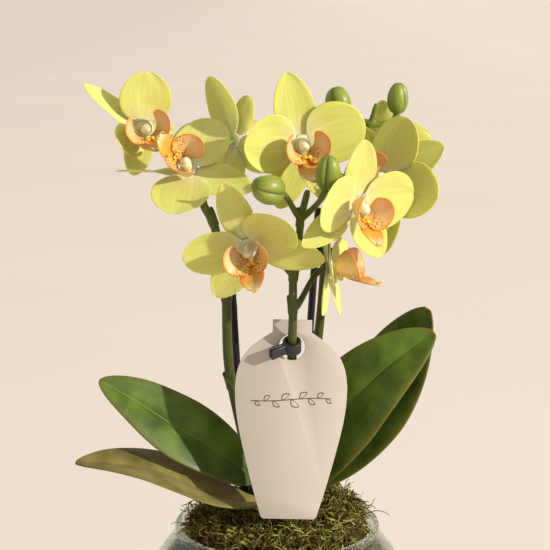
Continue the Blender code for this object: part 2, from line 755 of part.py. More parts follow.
def clip(name, centre, axis, radius, arm_turn, opening_turn, arm=CLIP_ARM, height=CLIP_HEIGHT):
    """A moulded clip: an open ring round the stem with a thumb piece on its side."""
    axis = Vector(axis).normalized()
    forward = Vector((0, -1, 0))
    right = forward.cross(axis) * -1
    right.normalize()
    forward = axis.cross(right) * -1
    if forward.y > 0:
        forward = -forward
    sides, gap = 16, 50.0
    outline = []
    for wall, order in ((radius + CLIP_WALL, 1), (radius, -1)):
        arc = [math.radians(opening_turn + gap / 2 + (360 - gap) * i / sides) for i in range(sides + 1)]
        outline += [(wall * math.cos(t), wall * math.sin(t)) for t in arc[::order]]
    count = len(outline)
    points = [
        Vector(centre) + right * x + forward * y + axis * z
        for z in (-height / 2, height / 2) for x, y in outline
    ]
    ring = object_from(name, points, ring_faces(2, count), "clip")
    turn = math.radians(arm_turn)
    way = right * math.cos(turn) + forward * math.sin(turn)
    start = Vector(centre) + way * (radius + CLIP_WALL * 0.5)
    route = [start, start + way * arm * 0.45, start + way * (arm - 0.8), start + way * arm]
    pad = tube(name + "_pad", route, [1.3, 1.5, 1.5, 0.9], 12, "clip", helper=True)
    pad.data.transform(Matrix.Translation(-start * MM))
    pad.data.transform(Matrix.Translation(start * MM) @ Matrix.Scale(height * 0.42 / 1.5, 4, axis))
    boolean(ring, pad, "UNION")
    return ring


def leaves():
    leaf(
        "leaf_left_upper",
        [(-10, -3, 136), (-20, -7, 145), (-36, -10, 157), (-51, -12, 167), (-68, -13, 179), (-86, -15, 190)],
        34, (0.25, -0.8, 0.6), 14,
    )
    leaf(
        "leaf_left_lower",
        [
            (-8.5, -8, 126.5), (-17, -13, 128), (-31, -18, 133), (-48, -21, 142), (-63, -23, 148),
            (-81, -25, 151.5), (-97, -26, 152),
        ],
        34, (0.05, -0.25, 1.0), 16,
    )
    leaf(
        "leaf_right_front",
        [
            (8, -3, 132), (16, -7, 145), (25, -9, 161), (33.5, -10, 174), (41, -11, 184), (52, -11, 195),
            (64, -9, 204), (76.5, -7, 212),
        ],
        42, (-0.35, -0.8, 0.35), 12,
    )
    leaf(
        "leaf_right_back",
        [(8.5, 11, 128), (25, 14, 141), (42, 15, 161), (56, 16, 182), (67, 15, 203), (75, 12, 220)],
        46, (-0.35, -0.75, 0.45), 14, fullness=1.02,
    )


def socketed_moss():
    """The moss, with a socket for everything that stands in it."""
    body = moss()
    cutters = [(crown_route(), [CROWN_RADIUS * f + GAP for f in CROWN_TAPER], 14)]
    for route in (LEFT_ROUTE, CENTRE_ROUTE, RIGHT_ROUTE):
        line = smooth_route(route[:3], 3)
        cutters.append((line, [SPIKE_RADIUS + STEM_SOCKET_ROOM] * len(line), 12))
    for foot, head in STAKES.values():
        foot, head = Vector(foot), Vector(head)
        below = foot - (head - foot) * ((foot.z - STAKE_FOOT_Z + GAP) / (head.z - foot.z))
        cutters.append(([below, head], [STAKE_RADIUS + GAP] * 2, 12))
    for number, (route, radii, sides) in enumerate(cutters):
        lowered = [route[0] - (route[1] - route[0]).normalized() * GAP, *route[1:]]
        cutter = tube(f"socket_{number}", lowered, radii, sides, "moss", helper=True)
        boolean(body, cutter, "DIFFERENCE")
    return body


def bud_stalk(start, leave, name):
    foot, axis, _, _ = BUDS[name]
    axis = Vector(axis).normalized()
    return curved(start, leave, Vector(foot) - axis * 5, Vector(foot) - axis * 2 * GAP)


def spikes(frames):
    spike(
        "spike_left", LEFT_ROUTE, 1.7,
        [
            pedicel_route(LEFT_ROUTE[-1], (-5, 1, 3), frames["flower_far_left"]),
            pedicel_route(LEFT_ROUTE[8], (3, 3, 2), frames["flower_low_left"]),
            pedicel_route(LEFT_ROUTE[8], (4, 8, 3), frames["flower_back_left"], 8),
        ],
        [(0.28, 120), (0.42, 250)],
    )
    spike(
        "spike_centre", CENTRE_ROUTE, 1.6,
        [
            pedicel_route(CENTRE_ROUTE[8], (-4, 3, 5), frames["flower_front_left"]),
            pedicel_route(CENTRE_ROUTE[7], (6, 1, 4), frames["flower_low_right"]),
            bud_stalk(CENTRE_ROUTE[10], (-4, -2, 3), "bud_front"),
            bud_stalk(CENTRE_ROUTE[10], (5, -3, 4), "bud_middle"),
        ],
        [(0.75, 90)],
    )
    spike(
        "spike_right", RIGHT_ROUTE, 1.5,
        [
            pedicel_route(RIGHT_ROUTE[8], (-5, 0, 6), frames["flower_top"]),
            pedicel_route(RIGHT_ROUTE[7], (3, -4, 5), frames["flower_front_right"]),
            pedicel_route(RIGHT_ROUTE[8], (6, 0, 1), frames["flower_right"]),
            pedicel_route(RIGHT_ROUTE[9], (3, 1, 2), frames["flower_back_right"]),
            bud_stalk(RIGHT_ROUTE[10], (-5, 2, 3), "bud_top"),
            bud_stalk(RIGHT_ROUTE[10], (5, 0, 0), "bud_tip"),
        ],
        [(0.4, 60)],
    )


def lift_plant():
    """Move the plant, its sockets and what is tied to it to the height of the bowl's rim."""
    for obj in bpy.data.objects:
        if obj.name not in ("glass_bowl", "moss"):
            obj.data.transform(Matrix.Translation((0, 0, PLANT_LIFT * MM)))


def main():
    clear_scene()
    bowl()
    socketed_moss()
    crown()
    leaves()
    for name, (foot, head) in STAKES.items():
        stake(name, foot, head)
    tag()
    clip("clip_tag", (7, -26.6, 210), (0, -0.45, 0.9), SPIKE_RADIUS + CLIP_ROOM, 147, 0)
    both = STAKE_RADIUS + SPIKE_RADIUS / 2 + CLIP_SLACK  # the spike has thinned by this height
    clip("clip_stake", (20.8, -2.9, 249), (0.05, -0.1, 1.0), both, -20, 180, arm=6.0, height=5.0)
    frames = {name: standard_flower(name, **values) for name, values in FLOWERS.items()}
    for name, values in BUDS.items():
        bud(name, *values)
    spikes(frames)
    lift_plant()


if __name__ == "__main__":
    main()
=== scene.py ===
"""The finish of a potted moth orchid: flowers, leaves, stems, tag and clips, and a glass bowl of moss.

Laid out as an add-on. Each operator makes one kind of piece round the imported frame, and the panel lists them.
Lengths are in millimetres until a mesh is made, where MM turns them into metres.
"""

import math
import random

import bpy
import numpy as np
from bpy.props import FloatProperty, FloatVectorProperty, IntProperty, PointerProperty
from bpy.types import Operator, Panel, PropertyGroup
from mathutils import Matrix, Vector, noise


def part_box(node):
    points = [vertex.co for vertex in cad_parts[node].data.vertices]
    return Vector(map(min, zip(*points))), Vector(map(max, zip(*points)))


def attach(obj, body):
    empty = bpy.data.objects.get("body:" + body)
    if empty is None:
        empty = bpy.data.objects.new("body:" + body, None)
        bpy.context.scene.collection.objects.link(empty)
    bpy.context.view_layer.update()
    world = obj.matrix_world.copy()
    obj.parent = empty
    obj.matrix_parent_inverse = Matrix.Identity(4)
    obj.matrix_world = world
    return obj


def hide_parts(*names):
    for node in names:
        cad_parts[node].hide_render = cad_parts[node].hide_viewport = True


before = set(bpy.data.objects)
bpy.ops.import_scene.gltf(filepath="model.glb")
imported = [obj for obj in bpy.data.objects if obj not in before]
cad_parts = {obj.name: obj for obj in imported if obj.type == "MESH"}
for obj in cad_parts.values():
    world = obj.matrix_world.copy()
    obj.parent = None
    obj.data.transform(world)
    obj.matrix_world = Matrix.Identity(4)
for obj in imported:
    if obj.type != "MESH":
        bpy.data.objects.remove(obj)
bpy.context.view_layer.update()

bl_info = {
    "name": "Potted moth orchid",
    "version": (1, 0, 0),
    "blender": (4, 5, 0),
    "location": "3D View > Sidebar > Orchid",
    "description": "Flowers, leaves, stems, tag, clips and a glass bowl of moss round a packed frame",
    "category": "Add Mesh",
}

MM = 0.001


def hex_colour(code):
    """Linear red, green, blue and alpha from an sRGB hex value such as E8E070."""
    found = []
    for start in (0, 2, 4):
        value = int(code[start : start + 2], 16) / 255
        found.append(value / 12.92 if value <= 0.04045 else ((value + 0.055) / 1.055) ** 2.4)
    return (*found, 1.0)


def swatch(name, description, code):
    """A colour that a user may change, given as sRGB hex."""
    return FloatVectorProperty(
        name=name, description=description, subtype="COLOR", size=3, min=0, max=1,
        default=hex_colour(code)[:3],
    )


def length(name, description, value):
    """A length in millimetres."""
    return FloatProperty(name=name, description=description, default=value, min=0.01, max=500.0)


def amount(name, description, value, low=0.0, high=1000.0):
    """A plain number: a share, or a light's strength."""
    return FloatProperty(name=name, description=description, default=value, min=low, max=high)


def whole_number(name, description, value, low=0, high=100000):
    """How many of something."""
    return IntProperty(name=name, description=description, default=value, min=low, max=high)


class BowlSettings(PropertyGroup):
    tint: swatch("Glass tint", "What thick glass lets through", "F3F8F1")
    steps: whole_number("Round steps", "Facets round the bowl", 128, 24, 256)


class MossSettings(PropertyGroup):
    strand: length("Strand", "Thickness of one strand of moss, in mm", 0.5)
    wall_strands: whole_number("Wall strands", "Strands against the glass", 5200)
    heap_strands: whole_number("Heap strands", "Strands heaped in the mouth", 5000)
    fresh: swatch("Fresh moss", "The greenest strands", "7C7A30")
    dry: swatch("Dry moss", "The palest, straw-like strands", "B8A56C")
    deep: swatch("Deep moss", "Shaded brown strands in the gaps", "4A3A18")


class BloomSettings(PropertyGroup):
    thickness: length("Petal thickness", "Thickness at the middle of a petal, in mm", 0.75)
    edge: amount("Edge", "Thickness of a petal's edge, as a share of its middle", 0.42, 0.1, 1.0)
    throat: swatch("Throat", "Petal colour at the flower's middle", "D9D8B0")
    blade: swatch("Blade", "Petal colour", "CFCE6C")
    rim: swatch("Rim", "Petal colour along its edge", "CBC956")
    flame: swatch("Lip", "Lip colour along its edges", "DE8412")
    blush: swatch("Lip blush", "Lip colour inside its edges", "E0A45E")


class LeafSettings(PropertyGroup):
    thickness: length("Leaf thickness", "Thickness beside the midrib, in mm", 1.7)
    green: swatch("Leaf green", "Upper side of a leaf", "4A5F16")
    margin: swatch("Leaf margin", "Sun-tinted edge of a leaf", "6C6424")


class TagSettings(PropertyGroup):
    card: swatch("Card", "Face of the card", "C3B8AB")
    ink: swatch("Ink", "Printed drawing", "2E2420")


class StageSettings(PropertyGroup):
    paper: swatch("Floor", "Pale paper under the plant", "F2E7DA")
    sun: amount("Sun", "Strength of the key light", 4.0)
    sky: amount("Sky", "Strength of the light from all round", 0.50)


SETTINGS = {
    "orchid_bowl": BowlSettings,
    "orchid_moss": MossSettings,
    "orchid_bloom": BloomSettings,
    "orchid_leaf": LeafSettings,
    "orchid_tag": TagSettings,
    "orchid_stage": StageSettings,
}


# ---------------------------------------------------------------- modelling tools


def deselect():
    """Nothing selected, so that the next step acts on its own object only."""
    bpy.ops.object.select_all(action="DESELECT")


def only(obj):
    """Select this object and nothing else."""
    deselect()
    obj.select_set(True)
    bpy.context.view_layer.objects.active = obj


def with_modifier(obj, kind, **settings):
    """Add a modifier, set it and apply it."""
    only(obj)
    bpy.ops.object.modifier_add(type=kind)
    modifier = obj.modifiers[-1]
    for name, value in settings.items():
        setattr(modifier, name, value)
    bpy.ops.object.modifier_apply(modifier=modifier.name)


def edit_all(obj, *steps):
    """Run edit-mode steps on the whole of a mesh."""
    only(obj)
    bpy.ops.object.mode_set(mode="EDIT")
    bpy.ops.mesh.select_all(action="SELECT")
    for step, settings in steps:
        step(**settings)
    bpy.ops.object.mode_set(mode="OBJECT")


def outwards(obj):
    """Turn a closed shape's faces to the outside."""
    edit_all(obj, (bpy.ops.mesh.normals_make_consistent, {"inside": False}))


def joined(name, parts):
    """One object out of several."""
    only(parts[0])
    for part in parts:
        part.select_set(True)
    if len(parts) > 1:
        bpy.ops.object.join()
    parts[0].name = name
    parts[0].data.name = name
    return parts[0]


def finished(obj, name, slot, *nodes):
    """Name a piece, shade it smooth, hang it on the body and let it stand for its CAD nodes."""
    obj.name = name
    obj.data.name = name
    only(obj)
    bpy.ops.object.shade_smooth()
    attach(obj, "root")
    if nodes:
        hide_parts(*nodes)
    return obj


def painted(obj, *materials):
    """Give a piece these materials and no others."""
    obj.data.materials.clear()
    for found in materials:
        obj.data.materials.append(found)
    return obj


def sheet(columns, rows, place):
    """A grid drawn out into a surface: place(across, share) gives its points, across from -1 to 1."""
    deselect()
    bpy.ops.mesh.primitive_grid_add(x_subdivisions=columns, y_subdivisions=rows, size=2)
    obj = bpy.context.object
    for vert in obj.data.vertices:
        vert.co = Vector(place(vert.co.x, (vert.co.y + 1) / 2)) * MM
    return obj


def thickened(obj, thickness, edge_share, smooth=1):
    """Give a sheet its body, thinner at the edge, and round it off."""
    group = obj.vertex_groups.new(name="body")
    for corner, spot in zip(obj.data.loops, obj.data.uv_layers[0].data):
        edge = max(abs(2 * spot.uv.x - 1), 2 * spot.uv.y - 1)
        group.add([corner.vertex_index], 1 - max(0.0, edge) ** 3, "REPLACE")
    with_modifier(
        obj, "SOLIDIFY", thickness=thickness * MM, offset=0.0, vertex_group="body",
        thickness_vertex_group=edge_share,
    )
    outwards(obj)
    if smooth:
        with_modifier(obj, "SUBSURF", levels=smooth, render_levels=smooth)
    return obj


def ball(segments, rings, place):
    """A sphere drawn out into a solid: place(around, along) gives its points, along from 0 to 1."""
    deselect()
    bpy.ops.mesh.primitive_uv_sphere_add(segments=segments, ring_count=rings, radius=1)
    obj = bpy.context.object
    for vert in obj.data.vertices:
        around = math.atan2(vert.co.y, vert.co.x)
        along = 1 - math.acos(max(-1.0, min(1.0, vert.co.z))) / math.pi
        vert.co = Vector(place(around, along)) * MM
    outwards(obj)
    return obj


def smooth_route(points, steps):
    """Catmull-Rom points through the given ones, `steps` to each stretch."""
    way = [Vector(p) for p in points]
    way = [way[0] * 2 - way[1], *way, way[-1] * 2 - way[-2]]
    found = []
    for before, start, end, after in zip(way, way[1:], way[2:], way[3:]):
        for step in range(steps):
            t = step / steps
            found.append(
                0.5
                * (
                    2 * start
                    + (end - before) * t
                    + (2 * before - 5 * start + 4 * end - after) * t * t
                    + (3 * start - before - 3 * end + after) * t**3
                )
            )
    return [*found, way[-2]]


def curved(start, leave, approach, end, steps=16):
    """Cubic curve from start, leaving along `leave`, to end by way of `approach`."""
    a, b = Vector(start), Vector(start) + Vector(leave)
    c, d = Vector(approach), Vector(end)
    found = []
    for step in range(steps + 1):
        t = step / steps
        found.append(a * (1 - t) ** 3 + b * 3 * t * (1 - t) ** 2 + c * 3 * t * t * (1 - t) + d * t**3)
    return found


def rod(route, radii, roundness=4):
    """A round rod along a route, from a bevelled curve, as a mesh."""
    deselect()
    bpy.ops.curve.primitive_bezier_curve_add()
    obj = bpy.context.object
    curve = obj.data
    curve.splines.clear()
    spline = curve.splines.new("POLY")
    spline.points.add(len(route) - 1)
    for point, spot, radius in zip(spline.points, route, radii):
        point.co = (*(Vector(spot) * MM), 1.0)
        point.radius = radius
    curve.dimensions = "3D"
    curve.bevel_depth = MM
    curve.bevel_resolution = roundness
    curve.use_fill_caps = True
    only(obj)
    bpy.ops.object.convert(target="MESH")
    edit_all(obj, (bpy.ops.mesh.remove_doubles, {"threshold": 0.00001}))
    return obj


def grown_together(obj, voxel):
    """Make several overlapping rods one skin, with soft forks."""
    only(obj)
    obj.data.remesh_voxel_size = voxel * MM
    bpy.ops.object.voxel_remesh()
    with_modifier(obj, "SMOOTH", factor=0.5, iterations=6)
    return obj


def placed(obj, place):
    """Move a mesh by a matrix that is in millimetres, and leave its object at the origin."""
    obj.data.transform(Matrix.Scale(MM, 4) @ place @ Matrix.Scale(1 / MM, 4))


def box_middle(node):
    """Middle of a CAD node's box, in millimetres."""
    low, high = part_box(node)
    return (low + high) / 2 / MM


# ---------------------------------------------------------------- materials


def add_node(tree, kind, inputs=None, stops=(), **settings):
    """A shader node with its settings, its sockets' values or links, and a colour ramp's stops."""
    node = tree.nodes.new("ShaderNode" + kind)
    for name, value in settings.items():
        setattr(node, name, value)
    for key, value in (inputs or {}).items():
        if isinstance(value, bpy.types.NodeSocket):
            tree.links.new(value, node.inputs[key])
        else:
            node.inputs[key].default_value = value
    if stops:
        elements = node.color_ramp.elements
        while len(elements) < len(stops):
            elements.new(0.5)
        for element, (place, colour) in zip(elements, stops):
            element.position = place
            element.color = hex_colour(colour) if isinstance(colour, str) else colour
    return node


# The settings of a Mix node that blends two colours, and of one that multiplies them.
BLENDED = {"data_type": "RGBA"}
MULTIPLIED = {"data_type": "RGBA", "blend_type": "MULTIPLY"}


def new_material(name, **values):
    """A Principled material with plain values on its own sockets."""
    made = bpy.data.materials.new(name)
    made.use_nodes = True
    shader = made.node_tree.nodes["Principled BSDF"]
    for socket, value in values.items():
        shader.inputs[socket.replace("_", " ")].default_value = value
    return made, made.node_tree, shader


def petal_tissue():
    """Petals are thin, watery tissue with a waxy skin: light glows through, and veins run from the claw."""
    look = bpy.context.scene.orchid_bloom
    made, tree, shader = new_material(
        "Phalaenopsis petal tissue", Roughness=0.52, IOR=1.40, Subsurface_Weight=0.45,
        Subsurface_Scale=0.0016, Subsurface_Radius=(1.0, 0.85, 0.25), Sheen_Weight=0.12,
        Sheen_Roughness=0.5,
    )
    place = add_node(tree, "TexCoord")
    split = add_node(tree, "SeparateXYZ", {0: place.outputs["UV"]})
    along = add_node(
        tree, "ValToRGB", {0: split.outputs[1]},
        [
            (0.0, (*look.throat, 1)), (0.16, hex_colour("D3CF8E")), (0.42, (*look.blade, 1)),
            (1.0, (*look.blade, 1)),
        ],
    )
    # the rim's tint grows steeply with the distance from the midrib
    side = add_node(tree, "MapRange", {0: split.outputs[0], 1: 0.0, 2: 1.0, 3: -1.0, 4: 1.0})
    edge = add_node(tree, "Math", {0: side.outputs[0], 1: side.outputs[0]}, operation="MULTIPLY")
    rim = add_node(tree, "Math", {0: edge.outputs[0], 1: 2.2}, operation="POWER")
    rim_share = add_node(tree, "Math", {0: rim.outputs[0], 1: 0.55}, operation="MULTIPLY")
    tinted = add_node(
        tree, "Mix", {0: rim_share.outputs[0], 6: along.outputs[0], 7: (*look.rim, 1)}, **BLENDED
    )
    # veins about 2 mm apart run the length of the blade: 13 across 28 mm
    stretch = add_node(tree, "Mapping", {0: place.outputs["UV"], "Scale": (13.0, 1.1, 1.0)})
    veins = add_node(
        tree, "TexNoise", {"Vector": stretch.outputs[0], "Scale": 1.0, "Detail": 3.0, "Distortion": 0.4}
    )
    faint = add_node(tree, "MapRange", {0: veins.outputs[0], 1: 0.35, 2: 0.65, 3: 0.93, 4: 1.04})
    veined = add_node(tree, "Mix", {0: 1.0, 6: tinted.outputs[2], 7: faint.outputs[0]}, **MULTIPLIED)
    # the flowers differ a little over about 40 mm
    drift = add_node(tree, "TexNoise", {"Vector": place.outputs["Object"], "Scale": 25.0, "Detail": 1.0})
    drift_share = add_node(tree, "MapRange", {0: drift.outputs[0], 1: 0.45, 2: 0.75, 3: 0.0, 4: 0.35})
    varied = add_node(
        tree, "Mix", {0: drift_share.outputs[0], 6: veined.outputs[2], 7: hex_colour("D4D288")}, **BLENDED
    )
    tree.links.new(varied.outputs[2], shader.inputs["Base Color"])
    # skin cells of about 0.3 mm give a soft glitter, over the relief of the veins
    cells = add_node(tree, "TexNoise", {"Vector": place.outputs["Object"], "Scale": 3000.0, "Detail": 1.0})
    relief = add_node(tree, "Bump", {"Height": veins.outputs[0], "Strength": 0.35, "Distance": 0.0006})
    skin = add_node(
        tree, "Bump",
        {"Height": cells.outputs[0], "Strength": 0.12, "Distance": 0.0001, "Normal": relief.outputs[0]},
    )
    tree.links.new(skin.outputs[0], shader.inputs["Normal"])
    return made


def lip_tissue(name, stops, spots_to, spot_colour):
    """Lips are thicker and waxier than petals, flushed orange along their edges and freckled at the joint."""
    look = bpy.context.scene.orchid_bloom
    made, tree, shader = new_material(
        name, Roughness=0.38, IOR=1.42, Subsurface_Weight=0.35, Subsurface_Scale=0.0014,
        Subsurface_Radius=(1.0, 0.6, 0.25), Coat_Weight=0.12, Coat_Roughness=0.3,
    )
    place = add_node(tree, "TexCoord")
    split = add_node(tree, "SeparateXYZ", {0: place.outputs["UV"]})
    along = add_node(tree, "ValToRGB", {0: split.outputs[1]}, stops)
    side = add_node(tree, "MapRange", {0: split.outputs[0], 1: 0.0, 2: 1.0, 3: -1.0, 4: 1.0})
    edge = add_node(tree, "Math", {0: side.outputs[0], 1: side.outputs[0]}, operation="MULTIPLY")
    rim = add_node(tree, "Math", {0: edge.outputs[0], 1: 3.2}, operation="POWER")
    flushed = add_node(
        tree, "Mix", {0: rim.outputs[0], 6: along.outputs[0], 7: (*look.flame, 1)}, **BLENDED
    )
    # clouds of about 4 mm
    clouds = add_node(tree, "TexNoise", {"Vector": place.outputs["Object"], "Scale": 260.0, "Detail": 2.0})
    cloud_share = add_node(tree, "MapRange", {0: clouds.outputs[0], 1: 0.48, 2: 0.70, 3: 0.0, 4: 0.5})
    clouded = add_node(
        tree, "Mix", {0: cloud_share.outputs[0], 6: flushed.outputs[2], 7: (*look.blush, 1)}, **BLENDED
    )
    # freckles up to 0.7 mm wide, about 1 mm apart, as far as spots_to of the lobe's length
    freckles = add_node(
        tree, "TexVoronoi", {"Vector": place.outputs["Object"], "Scale": 950.0, "Randomness": 1.0}
    )
    dots = add_node(tree, "MapRange", {0: freckles.outputs["Distance"], 1: 0.30, 2: 0.42, 3: 1.0, 4: 0.0})
    reach = add_node(
        tree, "MapRange", {0: split.outputs[1], 1: spots_to * 0.7, 2: spots_to, 3: 1.0, 4: 0.0}
    )
    spots = add_node(tree, "Math", {0: dots.outputs[0], 1: reach.outputs[0]}, operation="MULTIPLY")
    freckled = add_node(
        tree, "Mix", {0: spots.outputs[0], 6: clouded.outputs[2], 7: hex_colour(spot_colour)}, **BLENDED
    )
    tree.links.new(freckled.outputs[2], shader.inputs["Base Color"])
    stretch = add_node(tree, "Mapping", {0: place.outputs["UV"], "Scale": (9.0, 1.0, 1.0)})
    veins = add_node(tree, "TexNoise", {"Vector": stretch.outputs[0], "Scale": 1.0, "Detail": 2.0})
    relief = add_node(tree, "Bump", {"Height": veins.outputs[0], "Strength": 0.4, "Distance": 0.0005})
    tree.links.new(relief.outputs[0], shader.inputs["Normal"])
    return made


def column_tissue():
    """The column is firm ivory tissue, waxy, and clouded with yellow and pink over about 3 mm."""
    made, tree, shader = new_material(
        "Phalaenopsis column tissue", Roughness=0.32, IOR=1.42, Subsurface_Weight=0.4,
        Subsurface_Scale=0.0015, Subsurface_Radius=(1.0, 0.7, 0.4), Coat_Weight=0.2, Coat_Roughness=0.2,
    )
    place = add_node(tree, "TexCoord")
    clouds = add_node(tree, "TexNoise", {"Vector": place.outputs["Object"], "Scale": 320.0, "Detail": 2.0})
    colour = add_node(
        tree, "ValToRGB", {0: clouds.outputs[0]}, [(0.38, "E4E0CC"), (0.55, "DDD4A4"), (0.72, "D4B496")]
    )
    tree.links.new(colour.outputs[0], shader.inputs["Base Color"])
    return made


def leaf_blade_material(name, dark, middle, light):
    """Leaves are leathery under a waxy cuticle: satin gloss, fine lengthwise veins and sun-tinted margins."""
    look = bpy.context.scene.orchid_leaf
    made, tree, shader = new_material(
        name, IOR=1.42, Specular_IOR_Level=0.36, Coat_Weight=0.04, Coat_Roughness=0.3,
        Subsurface_Weight=0.08, Subsurface_Scale=0.001, Subsurface_Radius=(0.3, 1.0, 0.1),
    )
    place = add_node(tree, "TexCoord")
    split = add_node(tree, "SeparateXYZ", {0: place.outputs["UV"]})
    side = add_node(tree, "MapRange", {0: split.outputs[0], 1: 0.0, 2: 1.0, 3: -1.0, 4: 1.0})
    edge = add_node(tree, "Math", {0: side.outputs[0]}, operation="ABSOLUTE")
    # mottling of 8 to 15 mm
    mottle = add_node(tree, "TexNoise", {"Vector": place.outputs["Object"], "Scale": 75.0, "Detail": 4.0})
    green = add_node(
        tree, "ValToRGB", {0: mottle.outputs[0]}, [(0.30, dark), (0.50, middle), (0.72, light)]
    )
    # veins about 1 mm apart across a 40 mm blade
    stretch = add_node(tree, "Mapping", {0: place.outputs["UV"], "Scale": (42.0, 1.3, 1.0)})
    veins = add_node(tree, "TexNoise", {"Vector": stretch.outputs[0], "Scale": 1.0, "Detail": 3.0})
    faint = add_node(tree, "MapRange", {0: veins.outputs[0], 1: 0.3, 2: 0.7, 3: 0.88, 4: 1.08})
    veined = add_node(tree, "Mix", {0: 1.0, 6: green.outputs[0], 7: faint.outputs[0]}, **MULTIPLIED)
    # the outer eighth turns olive, and its last millimetre rust
    olive_share = add_node(tree, "MapRange", {0: edge.outputs[0], 1: 0.80, 2: 0.99, 3: 0.0, 4: 0.7})
    olive = add_node(
        tree, "Mix", {0: olive_share.outputs[0], 6: veined.outputs[2], 7: (*look.margin, 1)}, **BLENDED
    )
    tip_share = add_node(tree, "MapRange", {0: split.outputs[1], 1: 0.90, 2: 1.0, 3: 0.0, 4: 0.8})
    rust_share = add_node(tree, "Math", {0: tip_share.outputs[0], 1: edge.outputs[0]}, operation="MULTIPLY")
    rusty = add_node(
        tree, "Mix", {0: rust_share.outputs[0], 6: olive.outputs[2], 7: hex_colour("7A4424")}, **BLENDED
    )
    # a pale line about 0.5 mm wide along the midrib is a painted highlight
    line = add_node(tree, "MapRange", {0: edge.outputs[0], 1: 0.008, 2: 0.028, 3: 0.55, 4: 0.0})
    midrib_highlight_painted = add_node(
        tree, "Mix", {0: line.outputs[0], 6: rusty.outputs[2], 7: hex_colour("76864A")}, **BLENDED
    )
    tree.links.new(midrib_highlight_painted.outputs[2], shader.inputs["Base Color"])
    wax = add_node(tree, "MapRange", {0: mottle.outputs[0], 1: 0.3, 2: 0.7, 3: 0.40, 4: 0.52})
    tree.links.new(wax.outputs[0], shader.inputs["Roughness"])
    # pores of about 0.7 mm roughen the sheen
    pores = add_node(tree, "TexNoise", {"Vector": place.outputs["Object"], "Scale": 1500.0, "Detail": 2.0})
    relief = add_node(tree, "Bump", {"Height": veins.outputs[0], "Strength": 0.16, "Distance": 0.0006})
    skin = add_node(
        tree, "Bump",
        {"Height": pores.outputs[0], "Strength": 0.18, "Distance": 0.0002, "Normal": relief.outputs[0]},
    )
    tree.links.new(skin.outputs[0], shader.inputs["Normal"])
    return made


def stem_skin():
    """Flower stems are smooth green skin with a dull bloom, browner low down where they have hardened."""
    made, tree, shader = new_material(
        "Orchid stem skin", Roughness=0.42, IOR=1.42, Subsurface_Weight=0.1, Subsurface_Scale=0.001,
        Subsurface_Radius=(0.4, 1.0, 0.1),
    )
    place = add_node(tree, "TexCoord")
    split = add_node(tree, "SeparateXYZ", {0: place.outputs["Object"]})
    # from the moss at 110 mm up to the flowers at 300 mm
    height = add_node(tree, "MapRange", {0: split.outputs[2], 1: 0.11, 2: 0.30, 3: 0.0, 4: 1.0})
    colour = add_node(
        tree, "ValToRGB", {0: height.outputs[0]},
        [(0.0, "43401A"), (0.35, "444A16"), (0.7, "4A5216"), (1.0, "707C28")],
    )
    # streaks 1 mm wide and about 9 mm long
    fibres = add_node(tree, "Mapping", {0: place.outputs["Object"], "Scale": (1.0, 1.0, 0.12)})
    streaks = add_node(tree, "TexNoise", {"Vector": fibres.outputs[0], "Scale": 900.0, "Detail": 3.0})
    streak = add_node(tree, "MapRange", {0: streaks.outputs[0], 1: 0.3, 2: 0.7, 3: 0.78, 4: 1.15})
    streaked = add_node(tree, "Mix", {0: 1.0, 6: colour.outputs[0], 7: streak.outputs[0]}, **MULTIPLIED)
    # brown flecks of 2 to 5 mm
    flecks = add_node(tree, "TexNoise", {"Vector": place.outputs["Object"], "Scale": 210.0, "Detail": 3.0})
    fleck = add_node(tree, "MapRange", {0: flecks.outputs[0], 1: 0.60, 2: 0.72, 3: 0.0, 4: 0.6})
    flecked = add_node(
        tree, "Mix", {0: fleck.outputs[0], 6: streaked.outputs[2], 7: hex_colour("4E3F16")}, **BLENDED
    )
    tree.links.new(flecked.outputs[2], shader.inputs["Base Color"])
    relief = add_node(tree, "Bump", {"Height": streaks.outputs[0], "Strength": 0.2, "Distance": 0.0003})
    tree.links.new(relief.outputs[0], shader.inputs["Normal"])
    return made


